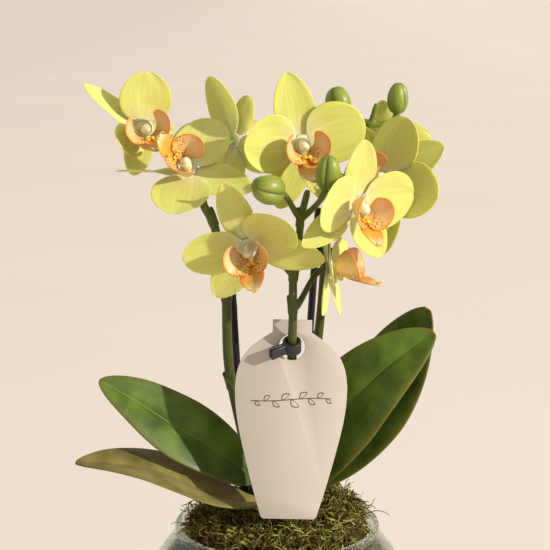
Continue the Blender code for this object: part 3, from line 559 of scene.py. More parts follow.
def bud_skin():
    """Buds are firm lime-green sepals, paler where they bulge and darker at the foot."""
    made, tree, shader = new_material(
        "Orchid bud skin", Roughness=0.40, IOR=1.42, Subsurface_Weight=0.3, Subsurface_Scale=0.0015,
        Subsurface_Radius=(0.6, 1.0, 0.15), Coat_Weight=0.1, Coat_Roughness=0.3,
    )
    place = add_node(tree, "TexCoord")
    split = add_node(tree, "SeparateXYZ", {0: place.outputs["UV"]})
    length_colour = add_node(
        tree, "ValToRGB", {0: split.outputs[1]},
        [(0.0, "5A6C20"), (0.3, "7C8A2E"), (0.7, "8E9A3A"), (1.0, "76862C")],
    )
    stretch = add_node(tree, "Mapping", {0: place.outputs["UV"], "Scale": (34.0, 2.0, 1.0)})
    veins = add_node(tree, "TexNoise", {"Vector": stretch.outputs[0], "Scale": 1.0, "Detail": 3.0})
    faint = add_node(tree, "MapRange", {0: veins.outputs[0], 1: 0.3, 2: 0.7, 3: 0.86, 4: 1.08})
    veined = add_node(tree, "Mix", {0: 1.0, 6: length_colour.outputs[0], 7: faint.outputs[0]}, **MULTIPLIED)
    # the three seams are painted dark as shade in their grooves, a third of a turn apart
    turned = add_node(
        tree, "Math", {0: split.outputs[0], 1: 3 * math.pi, 2: -1.5 * math.pi}, operation="MULTIPLY_ADD"
    )
    wound = add_node(
        tree, "Math", {0: split.outputs[1], 1: 0.75, 2: turned.outputs[0]}, operation="MULTIPLY_ADD"
    )
    wave = add_node(tree, "Math", {0: wound.outputs[0]}, operation="COSINE")
    size = add_node(tree, "Math", {0: wave.outputs[0]}, operation="ABSOLUTE")
    line = add_node(tree, "Math", {0: size.outputs[0], 1: 90.0}, operation="POWER")
    share = add_node(tree, "Math", {0: line.outputs[0], 1: 0.75}, operation="MULTIPLY")
    seams_painted_shade = add_node(
        tree, "Mix", {0: share.outputs[0], 6: veined.outputs[2], 7: hex_colour("3A4A14")}, **BLENDED
    )
    tree.links.new(seams_painted_shade.outputs[2], shader.inputs["Base Color"])
    relief = add_node(tree, "Bump", {"Height": veins.outputs[0], "Strength": 0.25, "Distance": 0.0004})
    tree.links.new(relief.outputs[0], shader.inputs["Normal"])
    return made


def stained_cane():
    """The canes are split bamboo, stained near black: a dull satin that follows the fibres."""
    made, tree, shader = new_material("Stained bamboo cane", IOR=1.5, Specular_IOR_Level=0.4)
    place = add_node(tree, "TexCoord")
    # fibres 0.6 mm wide, finer in real bamboo, and about 12 mm long
    fibres = add_node(tree, "Mapping", {0: place.outputs["Object"], "Scale": (1.0, 1.0, 0.05)})
    grain = add_node(tree, "TexNoise", {"Vector": fibres.outputs[0], "Scale": 1600.0, "Detail": 4.0})
    colour = add_node(
        tree, "ValToRGB", {0: grain.outputs[0]}, [(0.30, "120E10"), (0.55, "221B1E"), (0.75, "3A2F30")]
    )
    tree.links.new(colour.outputs[0], shader.inputs["Base Color"])
    dull = add_node(tree, "MapRange", {0: grain.outputs[0], 1: 0.3, 2: 0.7, 3: 0.38, 4: 0.6})
    tree.links.new(dull.outputs[0], shader.inputs["Roughness"])
    relief = add_node(tree, "Bump", {"Height": grain.outputs[0], "Strength": 0.35, "Distance": 0.0002})
    tree.links.new(relief.outputs[0], shader.inputs["Normal"])
    return made


def moulded_clip():
    """The clips are injection-moulded ABS: near black, with the 0.4 mm satin grain of a spark-cut mould."""
    made, tree, shader = new_material("Moulded ABS clip", IOR=1.54)
    place = add_node(tree, "TexCoord")
    spark = add_node(tree, "TexNoise", {"Vector": place.outputs["Object"], "Scale": 2600.0, "Detail": 2.0})
    colour = add_node(tree, "ValToRGB", {0: spark.outputs[0]}, [(0.3, "16151A"), (0.7, "26242A")])
    tree.links.new(colour.outputs[0], shader.inputs["Base Color"])
    dull = add_node(tree, "MapRange", {0: spark.outputs[0], 1: 0.3, 2: 0.7, 3: 0.32, 4: 0.46})
    tree.links.new(dull.outputs[0], shader.inputs["Roughness"])
    relief = add_node(tree, "Bump", {"Height": spark.outputs[0], "Strength": 0.12, "Distance": 0.0001})
    tree.links.new(relief.outputs[0], shader.inputs["Normal"])
    return made


def tag_card():
    """The tag is uncoated card: matte, with pulp fibres about 0.5 mm long and faint clouds of about 17 mm."""
    look = bpy.context.scene.orchid_tag
    made, tree, shader = new_material("Uncoated card", Roughness=0.86, IOR=1.5, Specular_IOR_Level=0.25)
    place = add_node(tree, "TexCoord")
    pulp = add_node(tree, "TexNoise", {"Vector": place.outputs["Object"], "Scale": 1900.0, "Detail": 4.0})
    clouds = add_node(tree, "TexNoise", {"Vector": place.outputs["Object"], "Scale": 60.0, "Detail": 2.0})
    both = add_node(tree, "Mix", {0: 0.35, 2: pulp.outputs[0], 3: clouds.outputs[0]}, data_type="FLOAT")
    tone = add_node(tree, "MapRange", {0: both.outputs[0], 1: 0.3, 2: 0.7, 3: 0.95, 4: 1.03})
    colour = add_node(tree, "Mix", {0: 1.0, 6: (*look.card, 1), 7: tone.outputs[0]}, **MULTIPLIED)
    tree.links.new(colour.outputs[2], shader.inputs["Base Color"])
    relief = add_node(tree, "Bump", {"Height": pulp.outputs[0], "Strength": 0.25, "Distance": 0.0001})
    tree.links.new(relief.outputs[0], shader.inputs["Normal"])
    return made


def printing_ink():
    """Offset ink soaked into card: matte, dark brown, a little broken by the fibres."""
    look = bpy.context.scene.orchid_tag
    made, tree, shader = new_material("Offset ink on card", Roughness=0.8, IOR=1.5)
    place = add_node(tree, "TexCoord")
    pulp = add_node(tree, "TexNoise", {"Vector": place.outputs["Object"], "Scale": 1900.0, "Detail": 3.0})
    share = add_node(tree, "MapRange", {0: pulp.outputs[0], 1: 0.55, 2: 0.8, 3: 0.0, 4: 0.4})
    colour = add_node(
        tree, "Mix", {0: share.outputs[0], 6: (*look.ink, 1), 7: hex_colour("6A5A4C")}, **BLENDED
    )
    tree.links.new(colour.outputs[2], shader.inputs["Base Color"])
    return made


def blown_glass():
    """The bowl is blown soda-lime glass: clear, faintly green, with slow waves about 30 mm apart."""
    look = bpy.context.scene.orchid_bowl
    made, tree, shader = new_material(
        "Blown soda-lime glass", Base_Color=(*look.tint, 1), Roughness=0.01, IOR=1.40,
        Transmission_Weight=1.0,
    )
    place = add_node(tree, "TexCoord")
    waves = add_node(tree, "TexNoise", {"Vector": place.outputs["Object"], "Scale": 32.0, "Detail": 1.0})
    relief = add_node(tree, "Bump", {"Height": waves.outputs[0], "Strength": 0.25, "Distance": 0.0012})
    tree.links.new(relief.outputs[0], shader.inputs["Normal"])
    # lamps shine through the wall, so that the moss inside is lit
    path = add_node(tree, "LightPath")
    clear = add_node(tree, "BsdfTransparent", {"Color": (*look.tint, 1)})
    # and a share of the light goes straight through to the eye, so that the rolled rim stays pale
    share = add_node(tree, "Math", {0: path.outputs["Is Shadow Ray"], 1: 0.45}, operation="MAXIMUM")
    mixed = add_node(tree, "MixShader", {0: share.outputs[0], 1: shader.outputs[0], 2: clear.outputs[0]})
    tree.links.new(mixed.outputs[0], tree.nodes["Material Output"].inputs[0])
    return made


def moss_strand():
    """Dried sheet moss: matte curly strands, olive through straw to red-brown, each in its own tone."""
    look = bpy.context.scene.orchid_moss
    made, tree, shader = new_material(
        "Dried moss strands", Roughness=0.85, IOR=1.4, Specular_IOR_Level=0.3, Subsurface_Weight=0.1,
        Subsurface_Scale=0.0006,
    )
    tone = add_node(tree, "Attribute", attribute_name="tone")
    colour = add_node(
        tree, "ValToRGB", {0: tone.outputs["Fac"]},
        [
            (0.0, (*look.deep, 1)), (0.22, "574A1C"), (0.45, (*look.fresh, 1)), (0.68, "96904A"),
            (0.88, (*look.dry, 1)), (0.95, "6E4A24"), (1.0, "5A3018"),
        ],
    )
    place = add_node(tree, "TexCoord")
    grain = add_node(tree, "TexNoise", {"Vector": place.outputs["Object"], "Scale": 700.0, "Detail": 2.0})
    tint = add_node(tree, "MapRange", {0: grain.outputs[0], 1: 0.3, 2: 0.7, 3: 0.8, 4: 1.15})
    tinted = add_node(tree, "Mix", {0: 1.0, 6: colour.outputs[0], 7: tint.outputs[0]}, **MULTIPLIED)
    tree.links.new(tinted.outputs[2], shader.inputs["Base Color"])
    return made


def moss_bed_material():
    """Packed moss between the strands: a tangle with a mesh of about 2.6 mm, its crevices painted dark as
    shade.
    """
    made, tree, shader = new_material("Packed moss", Roughness=0.95, IOR=1.4, Specular_IOR_Level=0.2)
    place = add_node(tree, "TexCoord")
    warp = add_node(tree, "TexNoise", {"Vector": place.outputs["Object"], "Scale": 120.0, "Detail": 3.0})
    bent = add_node(
        tree, "Mix", {0: 0.02, 4: place.outputs["Object"], 5: warp.outputs["Color"]}, data_type="VECTOR"
    )
    tangle = add_node(
        tree, "TexVoronoi", {"Vector": bent.outputs[1], "Scale": 380.0}, feature="DISTANCE_TO_EDGE"
    )
    clumps = add_node(tree, "TexNoise", {"Vector": place.outputs["Object"], "Scale": 90.0, "Detail": 4.0})
    # the bed's dark browns are partly the moss's own colour and partly painted shade deep in the heap
    colour = add_node(
        tree, "ValToRGB", {0: clumps.outputs[0]},
        [(0.30, "140F07"), (0.46, "2A220E"), (0.58, "413818"), (0.74, "5C5226")],
    )
    # painted shade: the crevices between the tangle's strands are painted darker
    painted_crevice_shade = add_node(tree, "MapRange", {0: tangle.outputs["Distance"], 1: 0.0, 2: 0.3, 3: 1.1, 4: 0.35})
    shaded = add_node(tree, "Mix", {0: 1.0, 6: colour.outputs[0], 7: painted_crevice_shade.outputs[0]}, **MULTIPLIED)
    tree.links.new(shaded.outputs[2], shader.inputs["Base Color"])
    relief = add_node(
        tree, "Bump", {"Height": tangle.outputs["Distance"], "Strength": 0.9, "Distance": 0.0015},
        invert=True,
    )
    tree.links.new(relief.outputs[0], shader.inputs["Normal"])
    return made


def studio_paper():
    """The floor is a wide roll of seamless paper: dead matte, with slow changes of tone and a painted light
    falloff.
    """
    look = bpy.context.scene.orchid_stage
    made, tree, shader = new_material("Seamless paper", Roughness=0.95, Specular_IOR_Level=0.1)
    place = add_node(tree, "TexCoord")
    clouds = add_node(tree, "TexNoise", {"Vector": place.outputs["Object"], "Scale": 2.0, "Detail": 1.0})
    tone = add_node(tree, "MapRange", {0: clouds.outputs[0], 1: 0.3, 2: 0.7, 3: 0.985, 4: 1.01})
    # painted light falloff: the paper is painted a little darker to the left and brighter to the right
    split = add_node(tree, "SeparateXYZ", {0: place.outputs["Object"]})
    painted_falloff = add_node(tree, "MapRange", {0: split.outputs[0], 1: -1.2, 2: 1.2, 3: 0.90, 4: 1.04})
    both = add_node(tree, "Math", {0: tone.outputs[0], 1: painted_falloff.outputs[0]}, operation="MULTIPLY")
    colour = add_node(tree, "Mix", {0: 1.0, 6: (*look.paper, 1), 7: both.outputs[0]}, **MULTIPLIED)
    tree.links.new(colour.outputs[2], shader.inputs["Base Color"])
    return made


# ---------------------------------------------------------------- blades of flowers

HUB = 3.0  # from the flower's middle out to where a blade starts
CLAW = 4.6  # width of a blade's claw
WHORL_STEP = 1.7  # the petals stand this far in front of the sepals
COLUMN_LENGTH = 7.0
COLUMN_RADIUS = 2.1
COLUMN_MIDDLE = 5.9  # from the flower's middle out to its column's middle
LOBE_FLARE = 0.055  # how much wider the lip's cup grows with each millimetre forward
LOBE_RING = 6.6  # height of the cup's middle over the lip's joint
LIP_JOINT = (0, -5.7, 8.1)  # where the lip hangs, in the flower's own axes
FULL_LENGTH = 0.996  # a blade stops just short of its point, so that the last row isn't pinched shut

# Both kinds of blade, in millimetres and degrees. tilt: slope at the claw. bend: what the slope gains by the
# tip. fullness: below 1, the widest part lies nearer the claw. base, tip: powers of the oval's two halves.
SEPAL = dict(
    length=30.0, width=18.5, fullness=0.82, base=1.9, tip=1.75, tilt=0, bend=5, cup=0.10, crease=0.05
)
PETAL = dict(
    length=28.0, width=28.0, fullness=0.86, base=2.05, tip=1.95, tilt=7, bend=12, cup=0.10, ruffle=0.9
)

# The blades of each whorl: kind, angle round the flower, and the name of the flower's own changes to it.
SEPALS = ((SEPAL, 90, "top"), (SEPAL, 218, "left_sepal"), (SEPAL, 322, "right_sepal"))
PETALS = ((PETAL, 165, "left_petal"), (PETAL, 15, "right_petal"))


def outline(shape, share):
    """Half-width at a share of the length: an oval that narrows to a claw, its tip blunter or sharper."""
    place = share ** shape["fullness"]
    power = shape["base"] if place < 0.5 else shape["tip"]
    oval = max(0.0, 1 - abs(2 * place - 1) ** power) ** (1 / power)
    return max(shape["width"] / 2 * oval, shape.get("claw", CLAW) / 2 * (1 - share) ** 2)


def spine(shape, steps=60):
    """Middle line of a blade as (reach, rise, slope) at even shares of its length."""
    tilt, bend = math.radians(shape["tilt"]), math.radians(shape["bend"])
    reach, rise = shape.get("start", HUB), 0.0
    found = [(reach, rise, tilt)]
    step = shape["length"] / steps
    for index in range(steps):
        share = (index + 0.5) / steps
        slope = tilt + bend * share
        reach += step * math.cos(slope)
        rise += step * math.sin(slope)
        found.append((reach, rise, tilt + bend * (index + 1) / steps))
    return found


def blade(shape, seed, columns=10, rows=14):
    """One petal, sepal or lobe as a flat sheet, along +X and turned by its angle, its face to +Z."""
    middle = spine(shape)
    twist = math.radians(shape.get("twist", 0.0))
    turned = Matrix.Rotation(math.radians(shape["angle"]), 3, "Z")
    offset = Vector((seed * 7.3, seed * 3.1, 0))

    def place(across, even):
        share = FULL_LENGTH * (0.35 * even + 0.65 * (1 - math.cos(math.pi * even)) / 2)
        index = share * (len(middle) - 1)
        low = min(int(index), len(middle) - 2)
        part = index - low
        reach, rise, slope = (a + (b - a) * part for a, b in zip(middle[low], middle[low + 1]))
        normal = Vector((-math.sin(slope), 0, math.cos(slope)))
        half = outline(shape, share)
        turn = twist * min(1.0, 2.2 * share)
        side = Vector((0, math.cos(turn), 0)) + normal * math.sin(turn)
        ease = min(1.0, 3 * share)
        lift = shape.get("cup", 0.0) * half * across**2 + shape.get("crease", 0.0) * half * abs(across)
        wave = noise.noise(Vector((share * 2.6, across * 1.7, 0)) + offset)
        lift += shape.get("ruffle", 0.5) * wave * (0.35 + across**2)
        return turned @ (Vector((reach, 0, rise)) + side * half * across + normal * lift * ease)

    return sheet(columns, rows, place)


def receptacle():
    """The flattened knob that the blades' claws grow from."""

    def place(around, along):
        radius = (HUB + 1.1) * math.sin(math.pi * along) ** 0.7
        return (radius * math.cos(around), radius * math.sin(around), -0.9 + 1.7 * along)

    obj = ball(24, 10, place)
    for spot in obj.data.uv_layers[0].data:
        spot.uv = (0.5, 0.02)
    return obj


def whorl(shapes, place, thickness, edge, seed):
    """Several thick blades round one middle, as one object."""
    parts = [thickened(blade(shape, seed + number), thickness, edge) for number, shape in enumerate(shapes)]
    obj = joined("whorl", [*parts, receptacle()])
    placed(obj, place)
    return obj


def facing(azimuth, elevation, roll):
    """Axes of a flower that faces this way: +Z the way it faces, +Y its top sepal."""
    turn, lift = math.radians(azimuth), math.radians(elevation)
    ahead = Vector((math.sin(turn) * math.cos(lift), -math.cos(turn) * math.cos(lift), math.sin(lift)))
    right = Vector((math.cos(turn), math.sin(turn), 0))
    axes = Matrix((right, ahead.cross(right), ahead)).transposed()
    return axes @ Matrix.Rotation(math.radians(roll), 3, "Z")


# The way each flower faces, and what makes its five blades its own.
BLOOMS = {
    "flower_far_left": dict(
        azimuth=12, elevation=4, roll=16, droop=28,
        top=dict(angle=127, tilt=-6, twist=50, width=13, length=32, fullness=1.0, claw=3.0),
        left_sepal=dict(angle=238, tilt=0, length=20, width=14),
        right_sepal=dict(angle=336, tilt=-4, length=11, width=12),
        left_petal=dict(angle=197, tilt=9, bend=70, width=18, length=18),
        right_petal=dict(angle=73, tilt=7, bend=10, length=24, width=25),
    ),
    "flower_low_left": dict(
        azimuth=-8, elevation=42, roll=-106,
        top=dict(angle=88, tilt=-2),
        left_sepal=dict(angle=202, tilt=-8, length=27),
        right_sepal=dict(angle=291, tilt=4, twist=58, width=12, length=31, fullness=1.25, claw=3.0),
        left_petal=dict(angle=178, tilt=-2, bend=0, width=27),
        right_petal=dict(angle=13, tilt=8, bend=14),
    ),
    "flower_back_left": dict(
        azimuth=150, elevation=-4, roll=-28,
        top=dict(angle=92, tilt=-4, length=31, width=16),
        left_sepal=dict(angle=232, tilt=0, length=24),
        right_sepal=dict(angle=300, tilt=-4, length=26, width=15),
        left_petal=dict(angle=128, tilt=6, width=13, length=20),
        right_petal=dict(angle=12, tilt=10, width=24, length=24),
    ),
    "flower_top": dict(
        azimuth=13, elevation=-6, roll=6, droop=44,
        top=dict(angle=98, tilt=-2, length=31, width=20),
        left_sepal=dict(angle=246, tilt=-2),
        right_sepal=dict(angle=292, tilt=-4, width=15),
        left_petal=dict(angle=171, tilt=8, bend=20),
        right_petal=dict(angle=14, tilt=4, bend=2, width=30),
    ),
    "flower_front_left": dict(
        azimuth=-4, elevation=-22, roll=20,
        top=dict(angle=88, tilt=-2, length=31, width=16.5),
        left_sepal=dict(angle=221, tilt=0),
        right_sepal=dict(angle=331, tilt=3, bend=8, length=33),
        left_petal=dict(angle=168, tilt=6, bend=10, width=23),
        right_petal=dict(angle=24, tilt=11, bend=30, width=27),
    ),
    "flower_front_right": dict(
        azimuth=34, elevation=-14, roll=-8,
        top=dict(angle=106, tilt=2, bend=10),
        left_sepal=dict(angle=222, tilt=-2, twist=40, width=14),
        right_sepal=dict(angle=312, tilt=-4, bend=20),
        left_petal=dict(angle=176, tilt=8, bend=26),
        right_petal=dict(angle=14, tilt=2, bend=0, width=29),
    ),
    "flower_right": dict(
        azimuth=-28, elevation=18, roll=-60,
        top=dict(angle=96, tilt=-6, length=29),
        left_sepal=dict(angle=191, tilt=4),
        right_sepal=dict(angle=332, tilt=-10, length=33),
        left_petal=dict(angle=136, tilt=8, bend=0, width=25),
        right_petal=dict(angle=42, tilt=6, bend=4),
    ),
    "flower_back_right": dict(azimuth=165, elevation=10, roll=0, size=0.74),
    "flower_low_right": dict(
        azimuth=80, elevation=8, roll=0, size=0.92, droop=30,
        top=dict(angle=104, tilt=-2, length=26, width=16),
        left_sepal=dict(angle=214, tilt=-6, width=14),
        right_sepal=dict(angle=300, tilt=-2),
        left_petal=dict(angle=165, tilt=4, width=22, length=22),
        right_petal=dict(angle=8, tilt=12, bend=10, width=23, length=22),
    ),
}


def bloom_frame(name):
    """The flower's place and axes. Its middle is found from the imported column, which stands on it."""
    values = BLOOMS[name]
    axes = facing(values["azimuth"], values["elevation"], values["roll"])
    middle = box_middle(name + "_column") - axes.col[2] * COLUMN_MIDDLE
    return Matrix.Translation(middle) @ axes.to_4x4()


def column_and_cap():
    """The column: a fleshy stalk that swells, with a rounded cap hooded over its end."""

    def stalk(around, along):
        radius = COLUMN_RADIUS * (0.95 + 0.35 * along) * math.sqrt(max(0.0, 1 - (2 * along - 1) ** 8))
        return (
            radius * math.cos(around),
            0.4 - 1.2 * along**2 + radius * math.sin(around) * 0.9,
            2.4 + (COLUMN_LENGTH - 0.8) * along,
        )

    def cap(around, along):
        radius = 2.0 * math.sin(math.pi * along) ** 0.8
        return (radius * math.cos(around), -0.4 + radius * 0.85 * math.sin(around), 6.9 + 2.9 * along)

    return joined("column", [ball(20, 14, stalk), ball(20, 12, cap)])


def lip_side_lobe(angle, seed):
    """A side lobe stands up beside the column and curls in over it, like the half of a cup."""
    shape = dict(
        angle=angle, length=17.0, width=12.5, claw=6.5, start=0.8, fullness=0.72, base=2.3, tip=2.4,
        tilt=2, bend=136, cup=-0.06, ruffle=0.3,
    )
    obj = thickened(blade(shape, seed, columns=8, rows=14), 0.8, 0.5)
    for vert in obj.data.vertices:
        # the cup opens towards the front
        forward = -vert.co.y / MM
        flare = 1 + LOBE_FLARE * forward
        vert.co.x *= flare
        vert.co.z = LOBE_RING * MM + (vert.co.z - LOBE_RING * MM) * flare
        vert.co.y -= 1.4 * MM
    return obj


def lip_mid_lobe(droop, seed):
    """The mid-lobe: a spade that runs forward from a narrow waist, its flanks lifted and its point low."""
    shape = dict(
        angle=270, length=15.5, width=12.5, claw=3.6, start=0.6, fullness=1.05, base=1.7, tip=1.45,
        tilt=-droop, bend=20, cup=0.10, crease=0.22, ruffle=0.5,
    )
    return thickened(blade(shape, seed, columns=8, rows=12), 0.9, 0.5)


def lip_tendrils(droop):
    """Two short curled tendrils at the point of the mid-lobe."""
    parts = []
    slope = math.radians(-droop + 14)
    reach = 15.2
    tip = Vector((0, -reach * math.cos(slope), reach * math.sin(slope)))
    for side in (-1, 1):
        route = [
            tip + Vector((side * 0.4, 0.8, 0)),
            tip + Vector((side * 0.9, -0.9, 0.3)),
            tip + Vector((side * 1.9, -1.9, 1.0)),
            tip + Vector((side * 2.6, -1.4, 1.9)),
        ]
        line = smooth_route(route, 4)
        parts.append(rod(line, [0.42 - 0.28 * i / (len(line) - 1) for i in range(len(line))], 1))
    return parts


def lip_callus():
    """The freckled callus: a pair of small bosses where the three lobes meet, below the column."""

    def boss(side):
        def place(around, along):
            radius = 1.5 * math.sin(math.pi * along) ** 0.7
            return (
                side * 1.1 + radius * math.cos(around),
                -1.2 + radius * 1.15 * math.sin(around),
                -0.5 + 2.4 * along,
            )

        return place

    return [ball(12, 8, boss(side)) for side in (-1, 1)]


def lip_materials():
    """The lip's parts in the order that they are made: side lobes, mid-lobe, callus and tendrils."""
    return [
        lip_tissue(
            "Lip side lobe tissue",
            [(0.0, "DCA232"), (0.25, "E0B860"), (0.6, "E2C592"), (1.0, "DDA070")], 0.5, "8E2C10",
        ),
        lip_tissue(
            "Lip mid-lobe tissue",
            [(0.0, "B8601C"), (0.3, "C98A26"), (0.6, "CDA040"), (0.82, "DDD8A8"), (1.0, "D4BC60")],
            0.2, "8E2C10",
        ),
        lip_tissue("Lip callus tissue", [(0.0, "E8B22C"), (1.0, "F0C23A")], 3.0, "8A2410"),
        lip_tissue("Lip tendril tissue", [(0.0, "EFE3A0"), (1.0, "EFE3A0")], 0.0, "8A2410"),
    ]


def sized(shape, angle, changes, size):
    """A blade's shape at an angle round the flower, with this flower's own changes, at the flower's size."""
    made = {**shape, "angle": angle, **changes}
    return {**made, "length": made["length"] * size, "width": made["width"] * size}


class ORCHID_OT_blooms(Operator):
    """Nine open flowers: three sepals, two petals, a column and a three-lobed lip each"""

    bl_idname = "orchid.blooms"
    bl_label = "Flowers"

    def execute(self, context):
        look = context.scene.orchid_bloom
        tissue, ivory, lips = petal_tissue(), column_tissue(), lip_materials()
        for number, (name, values) in enumerate(BLOOMS.items()):
            place = bloom_frame(name)
            size = values.get("size", 1.0)
            seed = 10 * number
            back, front = (
                [sized(shape, angle, values.get(which, {}), size) for shape, angle, which in blades]
                for blades in (SEPALS, PETALS)
            )
            sepals = whorl(back, place, look.thickness, look.edge, seed)
            finished(painted(sepals, tissue), name + "_sepal_blades", "petal", name + "_sepals")
            forward = place @ Matrix.Translation((0, 0, WHORL_STEP))
            petals = whorl(front, forward, look.thickness, look.edge, seed + 5)
            finished(painted(petals, tissue), name + "_petal_blades", "petal", name + "_petals")
            stalk = column_and_cap()
            placed(stalk, place)
            finished(painted(stalk, ivory), name + "_column_and_cap", "column", name + "_column")
            self.lip(name, place, values.get("droop", 35), seed, lips)
        return {"FINISHED"}

    @staticmethod
    def lip(name, place, droop, seed, materials):
        """One lip: its parts in the same order as their materials, joined and hung below the column."""
        groups = [
            [lip_side_lobe(0, seed), lip_side_lobe(180, seed + 1)],
            [lip_mid_lobe(droop, seed + 2)],
            lip_callus(),
            lip_tendrils(droop),
        ]
        parts = []
        for number, group in enumerate(groups):
            for part in group:
                painted(part, *materials)
                for face in part.data.polygons:
                    face.material_index = number
                parts.append(part)
        obj = joined("lip", parts)
        # a lip is modelled with its front to -Y, and the flower faces +Z
        axes = Matrix(((1, 0, 0), (0, 0, 1), (0, -1, 0))).to_4x4()
        placed(obj, place @ Matrix.Translation(LIP_JOINT) @ axes)
        finished(obj, name + "_lip_lobes", "lip", name + "_lip")


# ---------------------------------------------------------------- buds

# Each bud's foot, the way it points, its length and its width.
BUDS = {
    "bud_top": ((31, 12, 315), (-0.2, 0.05, 1.0), 14, 13),
    "bud_tip": ((57.5, 8, 316), (0.05, 0.0, 1.0), 15, 10.5),
    "bud_middle": ((21.5, -46, 287), (0.12, -0.2, 1.0), 16, 11.5),
    "bud_front": ((1.5, -48, 286), (-0.7, -0.65, 0.25), 16.5, 14),
}


class ORCHID_OT_buds(Operator):
    """Four closed buds, each of three sepals that meet in seams"""

    bl_idname = "orchid.buds"
    bl_label = "Buds"

    def execute(self, context):
        skin = bud_skin()
        for name, (foot, axis, long, wide) in BUDS.items():
            turn = Vector(axis).normalized().to_track_quat("Z", "Y").to_matrix()

            def place(around, along):
                """A rounded cone, nipped at three seams that wind a little round it."""
                polar = math.pi * (0.03 + 0.95 * along)
                height = long * (1 - math.cos(polar)) / 2
                radius = wide / 2 * math.sin(polar) ** 0.85 * (1.08 - 0.22 * along)
                seam = abs(math.cos(1.5 * (around + 0.5 * along)))
                nip = 1.02 - 0.13 * seam**24 - 0.06 * seam**3
                lean = 0.5 * math.sin(math.pi * along)
                radius *= nip
                spot = Vector((radius * math.cos(around) + lean, radius * math.sin(around), height))
                return Vector(foot) + turn @ spot

            obj = ball(72, 28, place)
            finished(painted(obj, skin), name + "_closed", "bud", name)
        return {"FINISHED"}


# ---------------------------------------------------------------- stems

STEM_FOOT = 2.8  # radius of a stem where it leaves the moss
STALK = 1.35  # radius of a stalk along its middle
STALK_BOW = 9.0  # a flower's stalk comes in from this far behind it
STEM_VOXEL = 0.42

# route: the stem's middle from the moss up. head: its radius at the top. stalks: the point of the route that
# each one leaves, the way it leaves, the flower or bud that it carries, and its bow. bracts: share of the
# stem's length, and degrees round the stem.
SPIKES = {
    "spike_left": dict(
        route=[
            (-10, 13, 108), (-13, 12.5, 136), (-18.6, 8, 163), (-23.8, 2, 194), (-24.6, -3, 229),
            (-26.4, -5, 245), (-30, -6, 264), (-35, -6, 274), (-37, -5, 286), (-43, -4, 296), (-49, -3, 301),
        ],
        head=1.7,
        stalks=[
            (10, (-5, 1, 3), "flower_far_left", STALK_BOW),
            (8, (3, 3, 2), "flower_low_left", STALK_BOW),
            (8, (4, 8, 3), "flower_back_left", 8),
        ],
        bracts=[(0.26, 120), (0.40, 250), (0.62, 30)],
    ),
    "spike_centre": dict(
        route=[
            (4, -9, 108), (4, -10, 140), (5, -14, 165), (6.5, -19.5, 190), (7, -21.6, 201), (7, -26, 209.2),
            (7.2, -30.6, 218), (7.4, -33, 229), (7.5, -34, 245), (10, -34, 262), (11, -34, 272),
            (14, -34, 285),
        ],
        head=1.6,
        stalks=[
            (8, (-4, 3, 5), "flower_front_left", STALK_BOW),
            (7, (6, 1, 4), "flower_low_right", STALK_BOW),
            (10, (-4, -2, 3), "bud_front", None),
            (10, (5, -3, 4), "bud_middle", None),
        ],
        bracts=[(0.63, 90), (0.72, 250), (0.90, 90)],
    ),
    "spike_right": dict(
        route=[
            (12.5, 1, 108), (13, 2, 134), (14.2, 5.5, 153), (16.5, 5, 178), (19.6, 0, 204),
            (21.6, -4.5, 226), (23, -6, 249), (24.5, -4, 262), (32.5, 4, 284), (39, 8, 298), (45, 8, 311),
            (48, 8, 321),
        ],
        head=1.5,
        stalks=[
            (8, (-5, 0, 6), "flower_top", STALK_BOW),
            (7, (3, -4, 5), "flower_front_right", STALK_BOW),
            (8, (6, 0, 1), "flower_right", STALK_BOW),
            (9, (3, 1, 2), "flower_back_right", STALK_BOW),
            (10, (-5, 2, 3), "bud_top", None),
            (10, (5, 0, 0), "bud_tip", None),
        ],
        bracts=[(0.36, 60), (0.58, 200), (0.64, 20), (0.82, 120)],
    ),
}


def stalk_route(start, leave, name, bow):
    """Route of a stalk from its stem to the foot of a bud or the middle of a flower's back."""
    if name in BUDS:
        foot, axis, _, _ = BUDS[name]
        axis = Vector(axis).normalized()
        return curved(start, leave, Vector(foot) - axis * 5, Vector(foot) + axis * 0.6)
    place = bloom_frame(name)
    return curved(start, leave, place @ Vector((0, 0, -bow)), place @ Vector((0, 0, -0.3)))


def stalk_radii(steps):
    """A stalk is stouter where it leaves the stem and where it meets the flower."""
    shares = [i / steps for i in range(steps + 1)]
    return [STALK * (1.0 + 0.5 * (1 - share) ** 4 + 0.35 * share**5) for share in shares]


def bract(line, radii, share, turn):
    """A small pointed scale that clasps the stem at a node."""
    index = max(1, round(share * (len(line) - 1)))
    centre = line[index]
    ahead = (line[index + 1] - line[index - 1]).normalized()
    out = Matrix.Rotation(math.radians(turn), 3, ahead) @ ahead.orthogonal().normalized()
    across_axis = ahead.cross(out)
    thick = radii[index]

    def place(across, along):
        wrap = across * math.radians(125) * (1 - 0.75 * along**1.3)
        away = thick + 0.25 + 0.7 * along**2
        radial = out * math.cos(wrap) + across_axis * math.sin(wrap)
        return centre + ahead * (-2.5 + 9.0 * along) + radial * away

    obj = sheet(8, 8, place)
    return thickened(obj, 0.55, 0.8, smooth=0)


